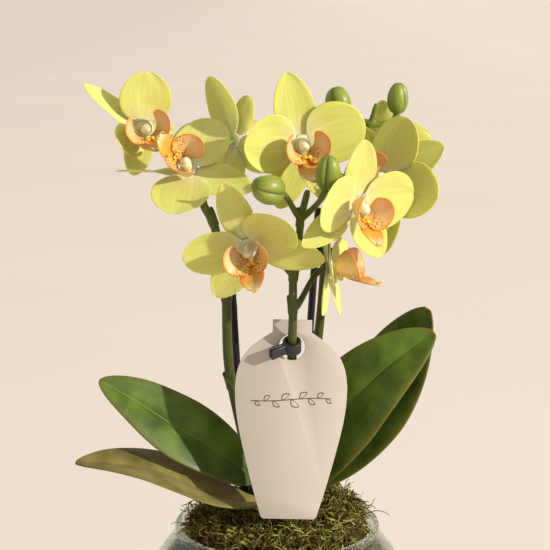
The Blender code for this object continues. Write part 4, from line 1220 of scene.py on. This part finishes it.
class ORCHID_OT_spikes(Operator):
    """Three flower stems with their stalks, nodes and bracts"""

    bl_idname = "orchid.spikes"
    bl_label = "Flower stems"

    def execute(self, context):
        skin = stem_skin()
        for name, spike in SPIKES.items():
            route, head = spike["route"], spike["head"]
            line = smooth_route(route, 6)
            last = len(line) - 1
            radii = [STEM_FOOT + (head - STEM_FOOT) * i / last for i in range(last + 1)]
            radii[-1] *= 0.7
            parts = [rod(line, radii, 6)]
            for index, leave, carried, bow in spike["stalks"]:
                way = stalk_route(route[index], leave, carried, bow)
                parts.append(rod(way, stalk_radii(len(way) - 1), 4))
            scales = [bract(line, radii, share, turn) for share, turn in spike["bracts"]]
            obj = joined(name, [*parts, *scales])
            grown_together(obj, STEM_VOXEL)
            finished(painted(obj, skin), name + "_stem", "stem", name)
        return {"FINISHED"}


# ---------------------------------------------------------------- leaves and crown

# route: the midrib from the crown to the tip. face: the way the upper side looks. fold: degrees that each
# flank rises from flat.
LEAVES = {
    "leaf_left_upper": dict(
        route=[
            (-10, -3, 136), (-20, -7, 145), (-36, -10, 157), (-51, -12, 167), (-68, -13, 179),
            (-86, -15, 190),
        ],
        width=34, face=(0.25, -0.8, 0.6), fold=14,
    ),
    "leaf_left_lower": dict(
        route=[
            (-8.5, -8, 126.5), (-17, -13, 128), (-31, -18, 133), (-48, -21, 142), (-63, -23, 148),
            (-81, -25, 151.5), (-97, -26, 152),
        ],
        width=34, face=(0.05, -0.25, 1.0), fold=16,
    ),
    "leaf_right_front": dict(
        route=[
            (8, -3, 132), (16, -7, 145), (25, -9, 161), (33.5, -10, 174), (41, -11, 184), (52, -11, 195),
            (64, -9, 204), (76.5, -7, 212),
        ],
        width=42, face=(-0.35, -0.8, 0.35), fold=12,
    ),
    "leaf_right_back": dict(
        route=[(8.5, 11, 128), (25, 14, 141), (42, 15, 161), (56, 16, 182), (67, 15, 203), (75, 12, 220)],
        width=46, face=(-0.35, -0.75, 0.45), fold=14, fullness=1.02,
    ),
}


def strap_leaf(route, width, face, fold, fullness=0.95, seed=0):
    """A fleshy strap leaf: folded along its midrib, its flanks rolled a little and its point blunt."""
    line = smooth_route(route, 12)
    lengths = [0.0]
    for a, b in zip(line, line[1:]):
        lengths.append(lengths[-1] + (b - a).length)
    bend = math.radians(fold)
    shape = dict(width=width, claw=9.0, fullness=fullness, base=1.75, tip=1.62)
    offset = Vector((seed * 5.7, seed * 2.3, 0))

    def place(across, even):
        share = FULL_LENGTH * (0.3 * even + 0.7 * (1 - math.cos(math.pi * even)) / 2)
        target = share * lengths[-1]
        index = min(sum(value <= target for value in lengths) - 1, len(line) - 2)
        part = (target - lengths[index]) / (lengths[index + 1] - lengths[index])
        centre = line[index].lerp(line[index + 1], part)
        before, after = line[max(index - 1, 0)], line[min(index + 2, len(line) - 1)]
        ahead = (after - before).normalized()
        side = ahead.cross(Vector(face)).normalized()
        normal = side.cross(ahead)
        half = outline(shape, share)
        # a channel at the midrib, then flanks that roll back towards the edge
        lift = half * (abs(across) ** 1.25) * math.sin(bend) - half * 0.10 * abs(across) ** 4
        channel = -0.7 * math.exp(-((across * half / 1.3) ** 2)) * min(1.0, 4 * (1 - share))
        wave = noise.noise(Vector((share * 3.0, across * 1.2, 0)) + offset)
        lift += channel + 0.9 * wave * abs(across)
        return centre + side * half * across * math.cos(bend) + normal * lift

    return thickened(sheet(24, 36, place), bpy.context.scene.orchid_leaf.thickness, 0.5)


class ORCHID_OT_leaves(Operator):
    """Four strap leaves and the short crown that they grow from"""

    bl_idname = "orchid.leaves"
    bl_label = "Leaves"

    def execute(self, context):
        look = context.scene.orchid_leaf
        green = leaf_blade_material(
            "Phalaenopsis leaf, waxy cuticle", "30450C", (*look.green, 1), "5E7620"
        )
        # the lower left leaf is painted olive-brown all over
        olive_brown_leaf = leaf_blade_material("Phalaenopsis leaf, olive_brown", "62582A", "7C7038", "90844C")
        for number, (name, shape) in enumerate(LEAVES.items()):
            obj = strap_leaf(**shape, seed=number + 1)
            painted(obj, olive_brown_leaf if name == "leaf_left_lower" else green)
            finished(obj, name + "_blade", "leaf", name)
        low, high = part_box("leaf_crown")
        low, high = low / MM, high / MM
        centre = (low + high) / 2
        radius = (high.x - low.x) / 2

        def crown(around, along):
            """A stub of overlapping leaf bases, ridged where each one clasps the next."""
            ridge = 1 + 0.06 * math.cos(2 * around + 9 * along) + 0.03 * math.cos(5 * around)
            swell = math.sin(math.pi * (0.10 + 0.86 * along)) ** 0.6
            r = radius * swell * ridge * 0.97
            height = low.z + (high.z - low.z) * along
            return (centre.x + r * math.cos(around), centre.y + r * math.sin(around), height)

        obj = ball(48, 32, crown)
        finished(painted(obj, green), "leaf_crown_bases", "leaf", "leaf_crown")
        return {"FINISHED"}


# ---------------------------------------------------------------- canes, clips and tag


# Each cane as a point where it leaves the moss and its head.
CANES = {
    "stake_left": ((-17.0, 18.0, 135), (-22.0, 3.5, 233)),
    "stake_right": ((12.2, 26.0, 135), (19.8, -4.0, 272)),
}
CANE_RADIUS = 1.9
CANE_FOOT_Z = 60.0  # the canes' feet stand this high, inside the moss
CANE_STEPS = 90
KNOT_STEPS = 31  # from one knot of a cane to the next, in steps of its length
KNOT_FIRST = 22
KNOT_SWELL = 0.10  # a knot is this share thicker than the cane between knots


class ORCHID_OT_canes(Operator):
    """Two dark canes, each with knots where the bamboo was jointed"""

    bl_idname = "orchid.canes"
    bl_label = "Canes"

    def execute(self, context):
        stain = stained_cane()
        for name, (foot, head) in CANES.items():
            foot, head = Vector(foot), Vector(head)
            start = foot - (head - foot) * ((foot.z - CANE_FOOT_Z) / (head.z - foot.z))
            route = [start.lerp(head, i / CANE_STEPS) for i in range(CANE_STEPS + 1)]
            radii = []
            for i in range(CANE_STEPS + 1):
                knots = math.exp(-(((i % KNOT_STEPS) - KNOT_FIRST) ** 2) / 1.5) * KNOT_SWELL
                radii.append(CANE_RADIUS * (0.94 + knots))
            radii[-1] *= 0.72
            obj = rod(route, radii, 6)
            finished(painted(obj, stain), name + "_cane", "stake", name)
        return {"FINISHED"}


TAG_PLACE = Vector((7.0, -26.0, 209.2))  # the middle of the tag's hole
TAG_TILT = 6.0  # degrees that its foot swings forward
TAG_LEAN = 1.2  # degrees that it leans to one side
TAG_HEIGHT = 95.5
TAG_WIDTH = 53.0
TAG_NECK_WIDTH = 18.5
TAG_NECK_HEIGHT = 6.0
TAG_FOOT_WIDTH = 25.5
TAG_THICKNESS = 1.2
TAG_HOLE_RADIUS = 6.2
TAG_HOLE_DROP = 13.0  # from the tag's top to its hole's centre
SPRIG_DROP = 25.0  # from the hole's centre to the drawing
SPRIG_HALF = 19.0  # half of the drawing's length
SPRIG_LEAVES = 9
SPRIG_WAVE = 0.9


def tag_outline():
    """Right half of the vase outline as (distance down, half-width), rounded between its corners."""
    neck, foot = TAG_NECK_WIDTH / 2, TAG_FOOT_WIDTH / 2
    shoulder = [
        (TAG_NECK_HEIGHT, neck), (TAG_NECK_HEIGHT + 4.5, TAG_WIDTH * 0.30),
        (TAG_NECK_HEIGHT + 10, TAG_WIDTH * 0.41), (TAG_NECK_HEIGHT + 17, TAG_WIDTH * 0.475),
        (TAG_NECK_HEIGHT + 24, TAG_WIDTH * 0.498),
        (TAG_NECK_HEIGHT + 29, TAG_WIDTH / 2), (TAG_NECK_HEIGHT + 37, TAG_WIDTH * 0.49),
        (TAG_HEIGHT * 0.55, TAG_WIDTH * 0.46), (TAG_HEIGHT * 0.68, TAG_WIDTH * 0.405),
        (TAG_HEIGHT * 0.84, TAG_WIDTH * 0.33), (TAG_HEIGHT - 2.2, foot + 0.9),
    ]
    curve = [(p.x, p.y) for p in smooth_route([(x, y, 0) for x, y in shoulder], 5)]
    return [(0.0, neck), *curve, (TAG_HEIGHT - 0.7, foot + 0.3), (TAG_HEIGHT, foot - 0.6)]


class ORCHID_OT_tag(Operator):
    """The vase-shaped card tag, hung by its hole, with a line drawing of a sprig"""

    bl_idname = "orchid.tag"
    bl_label = "Tag"

    def execute(self, context):
        tilt = Matrix.Rotation(math.radians(-TAG_TILT), 4, "X")
        lean = Matrix.Rotation(math.radians(TAG_LEAN), 4, "Y")
        where = Matrix.Translation(TAG_PLACE) @ (tilt @ lean)
        half = tag_outline()
        outline_points = [(x, TAG_HOLE_DROP - down) for down, x in half]
        outline_points += [(-x, TAG_HOLE_DROP - down) for down, x in reversed(half)]
        deselect()
        bpy.ops.mesh.primitive_circle_add(vertices=len(outline_points), radius=1, fill_type="NGON")
        obj = bpy.context.object
        for vert, (x, z) in zip(obj.data.vertices, outline_points):
            vert.co = Vector((x, 0, z)) * MM
        with_modifier(obj, "SOLIDIFY", thickness=TAG_THICKNESS * MM, offset=0.0)
        outwards(obj)
        deselect()
        bpy.ops.mesh.primitive_cylinder_add(
            vertices=96, radius=TAG_HOLE_RADIUS * MM, depth=8 * MM, rotation=(math.radians(90), 0, 0)
        )
        punch = bpy.context.object
        with_modifier(obj, "BOOLEAN", operation="DIFFERENCE", object=punch)
        bpy.data.objects.remove(punch)
        with_modifier(obj, "BEVEL", width=0.18 * MM, segments=2, limit_method="ANGLE")
        placed(obj, where)
        painted(obj, tag_card())
        finished(obj, "tag_of_card", "card", "tag")
        bpy.ops.object.shade_smooth_by_angle(angle=math.radians(30))
        self.sprig(where)
        return {"FINISHED"}

    def sprig(self, where):
        """A row of leaves on a fine stem, drawn in ink strokes 0.3 to 0.5 mm wide."""
        face = -TAG_THICKNESS / 2 - 0.02

        def stem(x):
            """Point of the drawn stem at this distance from its middle."""
            return Vector((x, face, -SPRIG_DROP + SPRIG_WAVE * math.sin(x / SPRIG_HALF * 2.2)))

        strokes = [([stem(x) for x in np.linspace(-SPRIG_HALF, SPRIG_HALF, 40)], 0.22)]
        for number in range(SPRIG_LEAVES):
            share = (number + 0.5) / SPRIG_LEAVES
            foot = stem(-SPRIG_HALF + 2 * SPRIG_HALF * share)
            side = 1 if number % 2 else -1
            size = 5.2 - 2.2 * abs(2 * share - 1)
            for bulge, ink in ((0.36, 0.24), (-0.12, 0.15)):
                reach = Vector((0.75, 0, side * 0.66)).normalized() * size
                across = Vector((-reach.z, 0, reach.x)).normalized() * side
                way = []
                for share_out in np.linspace(0, 1, 12):
                    away = across * size * bulge * math.sin(math.pi * share_out)
                    way.append(foot + reach * share_out + away)
                strokes.append((way, ink))
        parts = []
        for way, ink in strokes:
            obj = rod(way, [ink] * len(way), 1)
            for vert in obj.data.vertices:
                vert.co.y = face * MM + (vert.co.y - face * MM) * 0.08
            parts.append(obj)
        obj = joined("tag_drawing", parts)
        placed(obj, where)
        finished(painted(obj, printing_ink()), "tag_drawing", "card")


def clip_axes(axis):
    """Axes of a clip on a stem: X to the right, Y to the front and Z along the stem."""
    axis = Vector(axis).normalized()
    right = axis.cross(Vector((0, 1, 0))) * -1
    right.normalize()
    front = right.cross(axis)
    if front.y > 0:
        front.negate()
    return right, front, axis


def rounded_block(size, bevel, place):
    """A box with rounded edges, at a place in the clip's own axes."""
    deselect()
    bpy.ops.mesh.primitive_cube_add(size=1)
    obj = bpy.context.object
    obj.data.transform(Matrix.Diagonal((*size, 1)))
    obj.data.transform(Matrix.Scale(MM, 4))
    with_modifier(obj, "BEVEL", width=bevel * MM, segments=4)
    placed(obj, place)
    return obj


# radius: the ring's bore. turn: which way the grips point round the stem, in degrees. arm: the grips' length.
CLIPS = {
    "clip_tag": dict(centre=(7, -26.6, 210), axis=(0, -0.45, 0.9), radius=2.9, turn=147, arm=8.5, height=6.0),
    "clip_stake": dict(
        centre=(20.8, -2.9, 249), axis=(0.05, -0.1, 1.0), radius=7.0, turn=-20, arm=6.0, height=5.0
    ),
}
CLIP_WALL = 1.5
GRIP_THICKNESS = 1.3
GRIP_SPREAD = 0.85  # each grip's middle lies this far to its side


class ORCHID_OT_clips(Operator):
    """Two moulded clips: a ring round the stem, with a pair of grips to squeeze"""

    bl_idname = "orchid.clips"
    bl_label = "Clips"

    def execute(self, context):
        plastic = moulded_clip()
        for name, values in CLIPS.items():
            self.clip(name, plastic, **values)
        return {"FINISHED"}

    def clip(self, name, plastic, centre, axis, radius, turn, arm, height):
        """One clip: a bored ring, two grips, and the block between them that it hinges on."""
        place = Matrix.Translation(centre) @ Matrix(clip_axes(axis)).transposed().to_4x4()
        deselect()
        bpy.ops.mesh.primitive_cylinder_add(vertices=64, radius=(radius + CLIP_WALL) * MM, depth=height * MM)
        ring = bpy.context.object
        bpy.ops.mesh.primitive_cylinder_add(vertices=64, radius=radius * MM, depth=3 * height * MM)
        bore = bpy.context.object
        with_modifier(ring, "BOOLEAN", operation="DIFFERENCE", object=bore)
        bpy.data.objects.remove(bore)
        with_modifier(ring, "BEVEL", width=0.35 * MM, segments=3, limit_method="ANGLE")
        placed(ring, place)
        parts = [ring]
        along = Matrix.Rotation(math.radians(turn), 4, "Z")
        out = radius + 1.2
        for side in (-1, 1):
            where = place @ along @ Matrix.Translation((out + arm / 2 - 0.6, side * GRIP_SPREAD, 0))
            parts.append(rounded_block((arm, GRIP_THICKNESS, height * 0.9), 0.5, where))
        hinge = place @ along @ Matrix.Translation((out - 0.2, 0, 0))
        parts.append(rounded_block((2.6, 3.0, height * 0.98), 0.7, hinge))
        obj = joined(name, parts)
        finished(painted(obj, plastic), name + "_moulding", "clip", name)
        bpy.ops.object.shade_smooth_by_angle(angle=math.radians(35))


# ---------------------------------------------------------------- glass bowl and moss

BOWL_RADIUS = 71.0
BOWL_CENTRE_Z = 58.0
BOWL_WALL = 2.4
BOWL_BASE = 5.0
MOUTH_RADIUS = 47.4
RIM_HEIGHT = 5.0
RIM_ROLL = 1.2
PROFILE_STEPS = 40  # in each of the bowl's two arcs
MOSS_ROOM = 0.8  # between the glass and the strands against it
BED_SETBACK = 4.5  # the moss bed stays this far inside the mouth
HEAP_SETBACK = 4.2  # and the heaped strands start this far inside it


def neck_height():
    """Height at which the round of the bowl meets its rim."""
    neck = MOUTH_RADIUS + BOWL_WALL
    return BOWL_CENTRE_Z + math.sqrt(BOWL_RADIUS**2 - neck**2)


def bowl_profile():
    """The bowl's section, from the middle of its underside round the rim to the middle of its floor."""
    foot = math.sqrt(BOWL_RADIUS**2 - BOWL_CENTRE_Z**2)
    neck = MOUTH_RADIUS + BOWL_WALL
    profile = [(0.0, 0.0), (foot * 0.5, 0.0), (foot - 4, 0.0), (foot - 1.6, 0.2), (foot, 0.9)]
    top = math.acos(neck / BOWL_RADIUS)
    low = -math.acos((foot + 1.6) / BOWL_RADIUS)
    for step in range(PROFILE_STEPS + 1):
        turn = low + (top - low) * step / PROFILE_STEPS
        profile.append((BOWL_RADIUS * math.cos(turn), BOWL_CENTRE_Z + BOWL_RADIUS * math.sin(turn)))
    neck_z = profile[-1][1]
    rim_z = neck_z + RIM_HEIGHT
    rim = [
        (neck - 0.4, neck_z + 1.2), (neck - 0.1, neck_z + 2.0), (neck + RIM_ROLL * 0.8, rim_z - 2.4),
        (neck + RIM_ROLL, rim_z - 1.5), (neck + RIM_ROLL * 0.8, rim_z - 0.6), (neck + RIM_ROLL * 0.3, rim_z),
        (neck - BOWL_WALL * 0.45, rim_z), (MOUTH_RADIUS + 0.3, rim_z - 0.5), (MOUTH_RADIUS, rim_z - 1.4),
    ]
    profile += rim
    inner = BOWL_RADIUS - BOWL_WALL
    inner_top = math.acos(MOUTH_RADIUS / inner)
    inner_low = math.asin((BOWL_BASE + 3 - BOWL_CENTRE_Z) / inner)
    for step in range(PROFILE_STEPS + 1):
        turn = inner_top + (inner_low - inner_top) * step / PROFILE_STEPS
        profile.append((inner * math.cos(turn), BOWL_CENTRE_Z + inner * math.sin(turn)))
    profile += [(41.0, BOWL_BASE + 0.8), (34.0, BOWL_BASE), (0.0, BOWL_BASE)]
    return profile


class ORCHID_OT_bowl(Operator):
    """The round blown bowl, with its flat foot and fire-polished rim"""

    bl_idname = "orchid.bowl"
    bl_label = "Glass bowl"

    def execute(self, context):
        profile = bowl_profile()
        deselect()
        bpy.ops.mesh.primitive_plane_add(size=MM)
        obj = bpy.context.object
        bpy.ops.object.mode_set(mode="EDIT")
        bpy.ops.mesh.select_all(action="SELECT")
        bpy.ops.mesh.merge(type="CENTER")
        before = (0.0, 0.0)
        for radius, height in profile[1:]:
            step = ((radius - before[0]) * MM, 0, (height - before[1]) * MM)
            bpy.ops.mesh.extrude_region_move(TRANSFORM_OT_translate={"value": step})
            before = (radius, height)
        bpy.ops.mesh.select_all(action="SELECT")
        bpy.ops.mesh.spin(
            steps=context.scene.orchid_bowl.steps, angle=2 * math.pi, center=(0, 0, 0), axis=(0, 0, 1)
        )
        bpy.ops.mesh.select_all(action="SELECT")
        bpy.ops.mesh.remove_doubles(threshold=0.00002)
        bpy.ops.mesh.normals_make_consistent(inside=False)
        bpy.ops.object.mode_set(mode="OBJECT")
        finished(painted(obj, blown_glass()), "bowl_of_glass", "glass", "glass_bowl")
        return {"FINISHED"}


def moss_height(x, y):
    """Height of the moss in the mouth, heaped highest to the back right."""
    rim_z = neck_height() + RIM_HEIGHT
    share = min(1.0, math.hypot(x, y) / MOUTH_RADIUS)
    dome = 9.0 * (1 - share**2.2)
    heap = 3.0 * share * math.cos(math.atan2(y, x) - math.radians(25))
    bumps = 1.6 * math.sin(x / 6.5 + 1.0) * math.sin(y / 5.5) * (1 - share**3)
    return rim_z - 1.2 + dome + heap + bumps


STRAND_STEP = 2.1  # a strand is eight of these long, about 17 mm
STRAND_TAPER = (1.0, 1.0, 1.0, 0.95, 0.9, 0.85, 0.75, 0.6, 0.35)
STRAND_KINDS = 14
LOOSE_STRANDS = 150


def strand_shapes(count, chance):
    """A few curly strands, each a tapered rod along a wandering line, as (points, faces, route)."""
    found = []
    for _ in range(count):
        ahead = Vector((1, 0, 0))
        spot = Vector((0, 0, 0))
        axis = Vector((chance.gauss(0, 0.5), chance.gauss(0, 0.5), chance.choice((-1, 1)))).normalized()
        route = [spot.copy()]
        curl = chance.uniform(0.3, 1.0)
        for _ in STRAND_TAPER[1:]:
            spot = spot + ahead * STRAND_STEP
            route.append(spot.copy())
            axis = (axis + Vector([chance.gauss(0, 0.3) for _ in range(3)])).normalized()
            ahead = (Matrix.Rotation(curl * chance.uniform(0.5, 1.5), 3, axis) @ ahead).normalized()
        middle = sum(route, Vector()) / len(route)
        route = [point - middle for point in route]
        obj = rod(route, STRAND_TAPER, 0)
        points = np.array([vert.co for vert in obj.data.vertices]) / MM
        faces = [tuple(face.vertices) for face in obj.data.polygons]
        found.append((points, faces, np.array(route)))
        bpy.data.objects.remove(obj)
    return found


def scattered(name, shapes, spots, chance, thickness):
    """Copies of the strands as one mesh, with a tone for each strand.

    Each spot is a place, the way up there, the strand's size, the share of its curls that rises off flat,
    and its tone.
    """
    points, faces, tones = [], [], []
    first = 0
    for place, normal, size, rise, tone in spots:
        template, template_faces, route = shapes[chance.randrange(len(shapes))]
        turn = chance.uniform(0, 2 * math.pi)
        upright = Vector(normal).normalized()
        side = upright.orthogonal().normalized()
        side = Matrix.Rotation(turn, 3, upright) @ side
        axes = np.array(Matrix((side, upright.cross(side), upright)).transposed())
        flat = np.array((size, size, size * rise))
        # the route is stretched and flattened, but the strand's own thickness is not
        ring = np.repeat(route, len(template) // len(route), axis=0)
        skin = (template - ring) * thickness / 2
        local = ring * flat + skin
        points.append(local @ axes.T + np.array(place))
        faces += [tuple(v + first for v in face) for face in template_faces]
        tones.append(np.full(len(template), tone))
        first += len(template)
    mesh = bpy.data.meshes.new(name)
    mesh.from_pydata(np.concatenate(points) * MM, [], faces)
    mesh.attributes.new("tone", "FLOAT", "POINT").data.foreach_set("value", np.concatenate(tones))
    obj = bpy.data.objects.new(name, mesh)
    bpy.context.scene.collection.objects.link(obj)
    return obj


def strand_tone(chance):
    """Mostly olive, often straw, sometimes dark, and now and then red-brown."""
    if chance.random() < 0.018:
        return chance.uniform(0.95, 1.0)
    return min(0.9, max(0.0, chance.gauss(0.36, 0.33)))


class ORCHID_OT_moss(Operator):
    """Dried moss: a packed bed, strands against the glass and heaped in the mouth, and some loose ones"""

    bl_idname = "orchid.moss"
    bl_label = "Moss"

    def execute(self, context):
        look = context.scene.orchid_moss
        chance = random.Random(7)  # the same heap at every run
        self.bed()
        shapes = strand_shapes(STRAND_KINDS, chance)
        strand = moss_strand()
        wall = self.wall_spots(look.wall_strands, chance)
        self.halves(("moss_strands_low", "moss_strands_high"), wall, shapes, strand, chance)
        heap = self.heap_spots(look.heap_strands, chance)
        self.halves(("moss_strands_heaped", "moss_strands_topmost"), heap, shapes, strand, chance)
        self.loose(strand, chance)
        return {"FINISHED"}

    @staticmethod
    def halves(names, spots, shapes, strand, chance):
        """Strands at these spots as two pieces, so that neither grows too heavy."""
        half = len(spots) // 2
        thickness = bpy.context.scene.orchid_moss.strand
        for name, share in zip(names, (spots[:half], spots[half:])):
            finished(painted(scattered(name, shapes, share, chance, thickness), strand), name, "moss")

    def bed(self):
        """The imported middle: the CAD moss, drawn in a little so that strands lie between it and the glass."""
        source = bpy.data.objects["moss"]
        obj = source.copy()
        obj.data = source.data.copy()
        obj.parent = None
        obj.matrix_world = Matrix.Identity(4)
        bpy.context.scene.collection.objects.link(obj)
        edit_all(obj, (bpy.ops.mesh.remove_doubles, {"threshold": 0.00001}))
        obj.data.remesh_voxel_size = 1.6 * MM
        only(obj)
        bpy.ops.object.voxel_remesh()
        with_modifier(obj, "SMOOTH", factor=0.5, iterations=3)
        normals = [vert.normal.copy() for vert in obj.data.vertices]
        for vert, normal in zip(obj.data.vertices, normals):
            rough = noise.fractal(vert.co / MM * 0.16, 1.0, 2.0, 4)
            vert.co -= normal * (1.5 - 1.1 * rough) * MM
            # clear of the rim, so that the glass there stays bright
            radius = math.hypot(vert.co.x, vert.co.y) / MM
            if vert.co.z / MM > neck_height() - 3 and radius > MOUTH_RADIUS - BED_SETBACK:
                vert.co.xy *= (MOUTH_RADIUS - BED_SETBACK) / radius
        painted(obj, moss_bed_material())
        finished(obj, "moss_bed", "moss", "moss")

    def wall_spots(self, count, chance):
        """Spots spread evenly over the inside of the glass, up to its neck."""
        inner = BOWL_RADIUS - BOWL_WALL - MOSS_ROOM
        low, high = BOWL_BASE + 2.5, neck_height() - 1.5
        mouth = MOUTH_RADIUS - MOSS_ROOM
        found = []
        for _ in range(count):
            z = chance.uniform(low, high)
            turn = chance.uniform(0, 2 * math.pi)
            radius = math.sqrt(max(0.0, inner**2 - (z - BOWL_CENTRE_Z) ** 2))
            if z > BOWL_CENTRE_Z:
                radius = max(radius, mouth)
            x, y = radius * math.cos(turn), radius * math.sin(turn)
            normal = Vector((x, y, z - BOWL_CENTRE_Z)).normalized()
            depth = chance.uniform(0.6, 2.6)
            place = Vector((x, y, z)) - normal * depth
            found.append((place, normal, chance.uniform(0.5, 1.0), 0.12, strand_tone(chance)))
        return found

    def heap_spots(self, count, chance):
        """Spots over the mound in the mouth."""
        found = []
        edge = MOUTH_RADIUS - HEAP_SETBACK
        while len(found) < count:
            x, y = chance.uniform(-edge, edge), chance.uniform(-edge, edge)
            if math.hypot(x, y) > edge:
                continue
            slope_x = moss_height(x - 1, y) - moss_height(x + 1, y)
            slope_y = moss_height(x, y - 1) - moss_height(x, y + 1)
            normal = Vector((slope_x, slope_y, 2.0)).normalized()
            # tufts about 8 mm across, with darker hollows between them
            tuft = noise.noise((x * 0.13, y * 0.13, 3.0))
            if tuft < -0.25 and chance.random() < 0.5:
                continue
            z = moss_height(x, y) + 3.0 * tuft + chance.gauss(-0.2, 1.4)
            found.append(((x, y, z), normal, chance.uniform(0.5, 1.3), 1.0, strand_tone(chance)))
        return found

    def loose(self, strand, chance):
        """Long loose strands that spring out over the rim and up beside the leaves."""
        parts = []
        for _ in range(LOOSE_STRANDS):
            turn = chance.uniform(0, 2 * math.pi)
            radius = (MOUTH_RADIUS - 5) * math.sqrt(chance.uniform(0.4, 1.0))
            x, y = radius * math.cos(turn), radius * math.sin(turn)
            spot = Vector((x, y, moss_height(x, y) - 1.0))
            # mostly upwards, leaning out over the rim
            lean_x = 0.3 * x / radius + chance.gauss(0, 0.6)
            lean_y = 0.3 * y / radius + chance.gauss(0, 0.6)
            ahead = Vector((lean_x, lean_y, 1.0)).normalized()
            route = [spot.copy()]
            drop = chance.uniform(0.02, 0.3)
            for _ in range(8):
                spot = spot + ahead * chance.uniform(1.2, 2.9)
                route.append(spot.copy())
                ahead += Vector((chance.gauss(0, 0.25), chance.gauss(0, 0.25), -drop))
                ahead.normalize()
            parts.append((smooth_route(route, 2), strand_tone(chance)))
        made = []
        for way, tone in parts:
            count = len(way)
            obj = rod(way, [0.34 - 0.2 * i / count for i in range(count)], 1)
            attribute = obj.data.attributes.new("tone", "FLOAT", "POINT")
            attribute.data.foreach_set("value", [tone] * len(obj.data.vertices))
            made.append(obj)
        obj = joined("moss_loose", made)
        finished(painted(obj, strand), "moss_strands_loose", "moss")


# ---------------------------------------------------------------- stage


FLOOR_SIZE = 90.0  # metres, so that its far edge is lost behind the plant
TO_KEY = Vector((0.84, -0.44, 0.37))  # from the plant to the key light: low, right and a little in front
KEY_PLACE = (0.8, -0.7, 0.8)
SOFTBOX_PLACE = (0.9, -0.5, 1.3)
TO_SOFTBOX = Vector((0.9, -0.5, 1.1))
CAMERA_PLACE = Vector((-1.0, -742.0, 383.0))  # millimetres
CAMERA_DROP = 11  # degrees that the camera looks down
HALF_VIEW = 10  # degrees from the middle of the frame to its side


class ORCHID_OT_stage(Operator):
    """Pale floor, soft sky, one warm key light and the camera"""

    bl_idname = "orchid.stage"
    bl_label = "Stage"

    def execute(self, context):
        look = context.scene.orchid_stage
        deselect()
        bpy.ops.mesh.primitive_plane_add(size=FLOOR_SIZE)
        floor = bpy.context.object
        floor.name = "floor"
        painted(floor, studio_paper())
        world = bpy.data.worlds.new("Sky")
        context.scene.world = world
        world.use_nodes = True
        background = world.node_tree.nodes["Background"]
        background.inputs["Color"].default_value = hex_colour("FFFCF8")
        background.inputs["Strength"].default_value = look.sky
        deselect()
        bpy.ops.object.light_add(type="SUN", location=KEY_PLACE)
        sun = bpy.context.object
        sun.name = "key"
        sun.data.energy = look.sun
        sun.data.angle = math.radians(1.6)
        sun.data.color = hex_colour("FFFAF4")[:3]
        sun.rotation_euler = TO_KEY.to_track_quat("Z", "Y").to_euler()
        deselect()
        bpy.ops.object.light_add(type="AREA", location=SOFTBOX_PLACE)
        softbox = bpy.context.object
        softbox.name = "softbox"
        softbox.data.energy = 3.0
        softbox.data.size = 0.9
        softbox.rotation_euler = TO_SOFTBOX.to_track_quat("Z", "Y").to_euler()
        deselect()
        pitch = math.radians(90 - CAMERA_DROP)
        bpy.ops.object.camera_add(location=CAMERA_PLACE * MM, rotation=(pitch, 0, 0))
        camera = bpy.context.object
        camera.name = "camera"
        camera.data.sensor_width = 36.0
        camera.data.lens = camera.data.sensor_width / 2 / math.tan(math.radians(HALF_VIEW))
        camera.data.dof.use_dof = False
        context.scene.camera = camera
        context.scene.view_settings.view_transform = "Standard"
        return {"FINISHED"}


class ORCHID_PT_panel(Panel):
    """Lists the pieces of the orchid in the sidebar"""

    bl_idname = "ORCHID_PT_panel"
    bl_label = "Potted moth orchid"
    bl_space_type = "VIEW_3D"
    bl_region_type = "UI"
    bl_category = "Orchid"

    def draw(self, context):
        for operator in OPERATORS:
            self.layout.operator(operator.bl_idname)
        for group, settings in SETTINGS.items():
            box = self.layout.box()
            for name in settings.__annotations__:
                box.prop(getattr(context.scene, group), name)


OPERATORS = (
    ORCHID_OT_bowl,
    ORCHID_OT_moss,
    ORCHID_OT_leaves,
    ORCHID_OT_spikes,
    ORCHID_OT_canes,
    ORCHID_OT_tag,
    ORCHID_OT_clips,
    ORCHID_OT_blooms,
    ORCHID_OT_buds,
    ORCHID_OT_stage,
)


def register():
    """Register the classes, and hang the settings on the scene."""
    for settings in SETTINGS.values():
        bpy.utils.register_class(settings)
    for made in (*OPERATORS, ORCHID_PT_panel):
        bpy.utils.register_class(made)
    for name, settings in SETTINGS.items():
        setattr(bpy.types.Scene, name, PointerProperty(type=settings))


def unregister():
    """Undo what register did."""
    for name in SETTINGS:
        delattr(bpy.types.Scene, name)
    for made in (ORCHID_PT_panel, *reversed(OPERATORS), *reversed(SETTINGS.values())):
        bpy.utils.unregister_class(made)


def main():
    """Make every piece and the stage."""
    register()
    bpy.ops.orchid.bowl()
    bpy.ops.orchid.moss()
    bpy.ops.orchid.leaves()
    bpy.ops.orchid.spikes()
    bpy.ops.orchid.canes()
    bpy.ops.orchid.tag()
    bpy.ops.orchid.clips()
    bpy.ops.orchid.blooms()
    bpy.ops.orchid.buds()
    bpy.ops.orchid.stage()


if __name__ == "__main__":
    main()
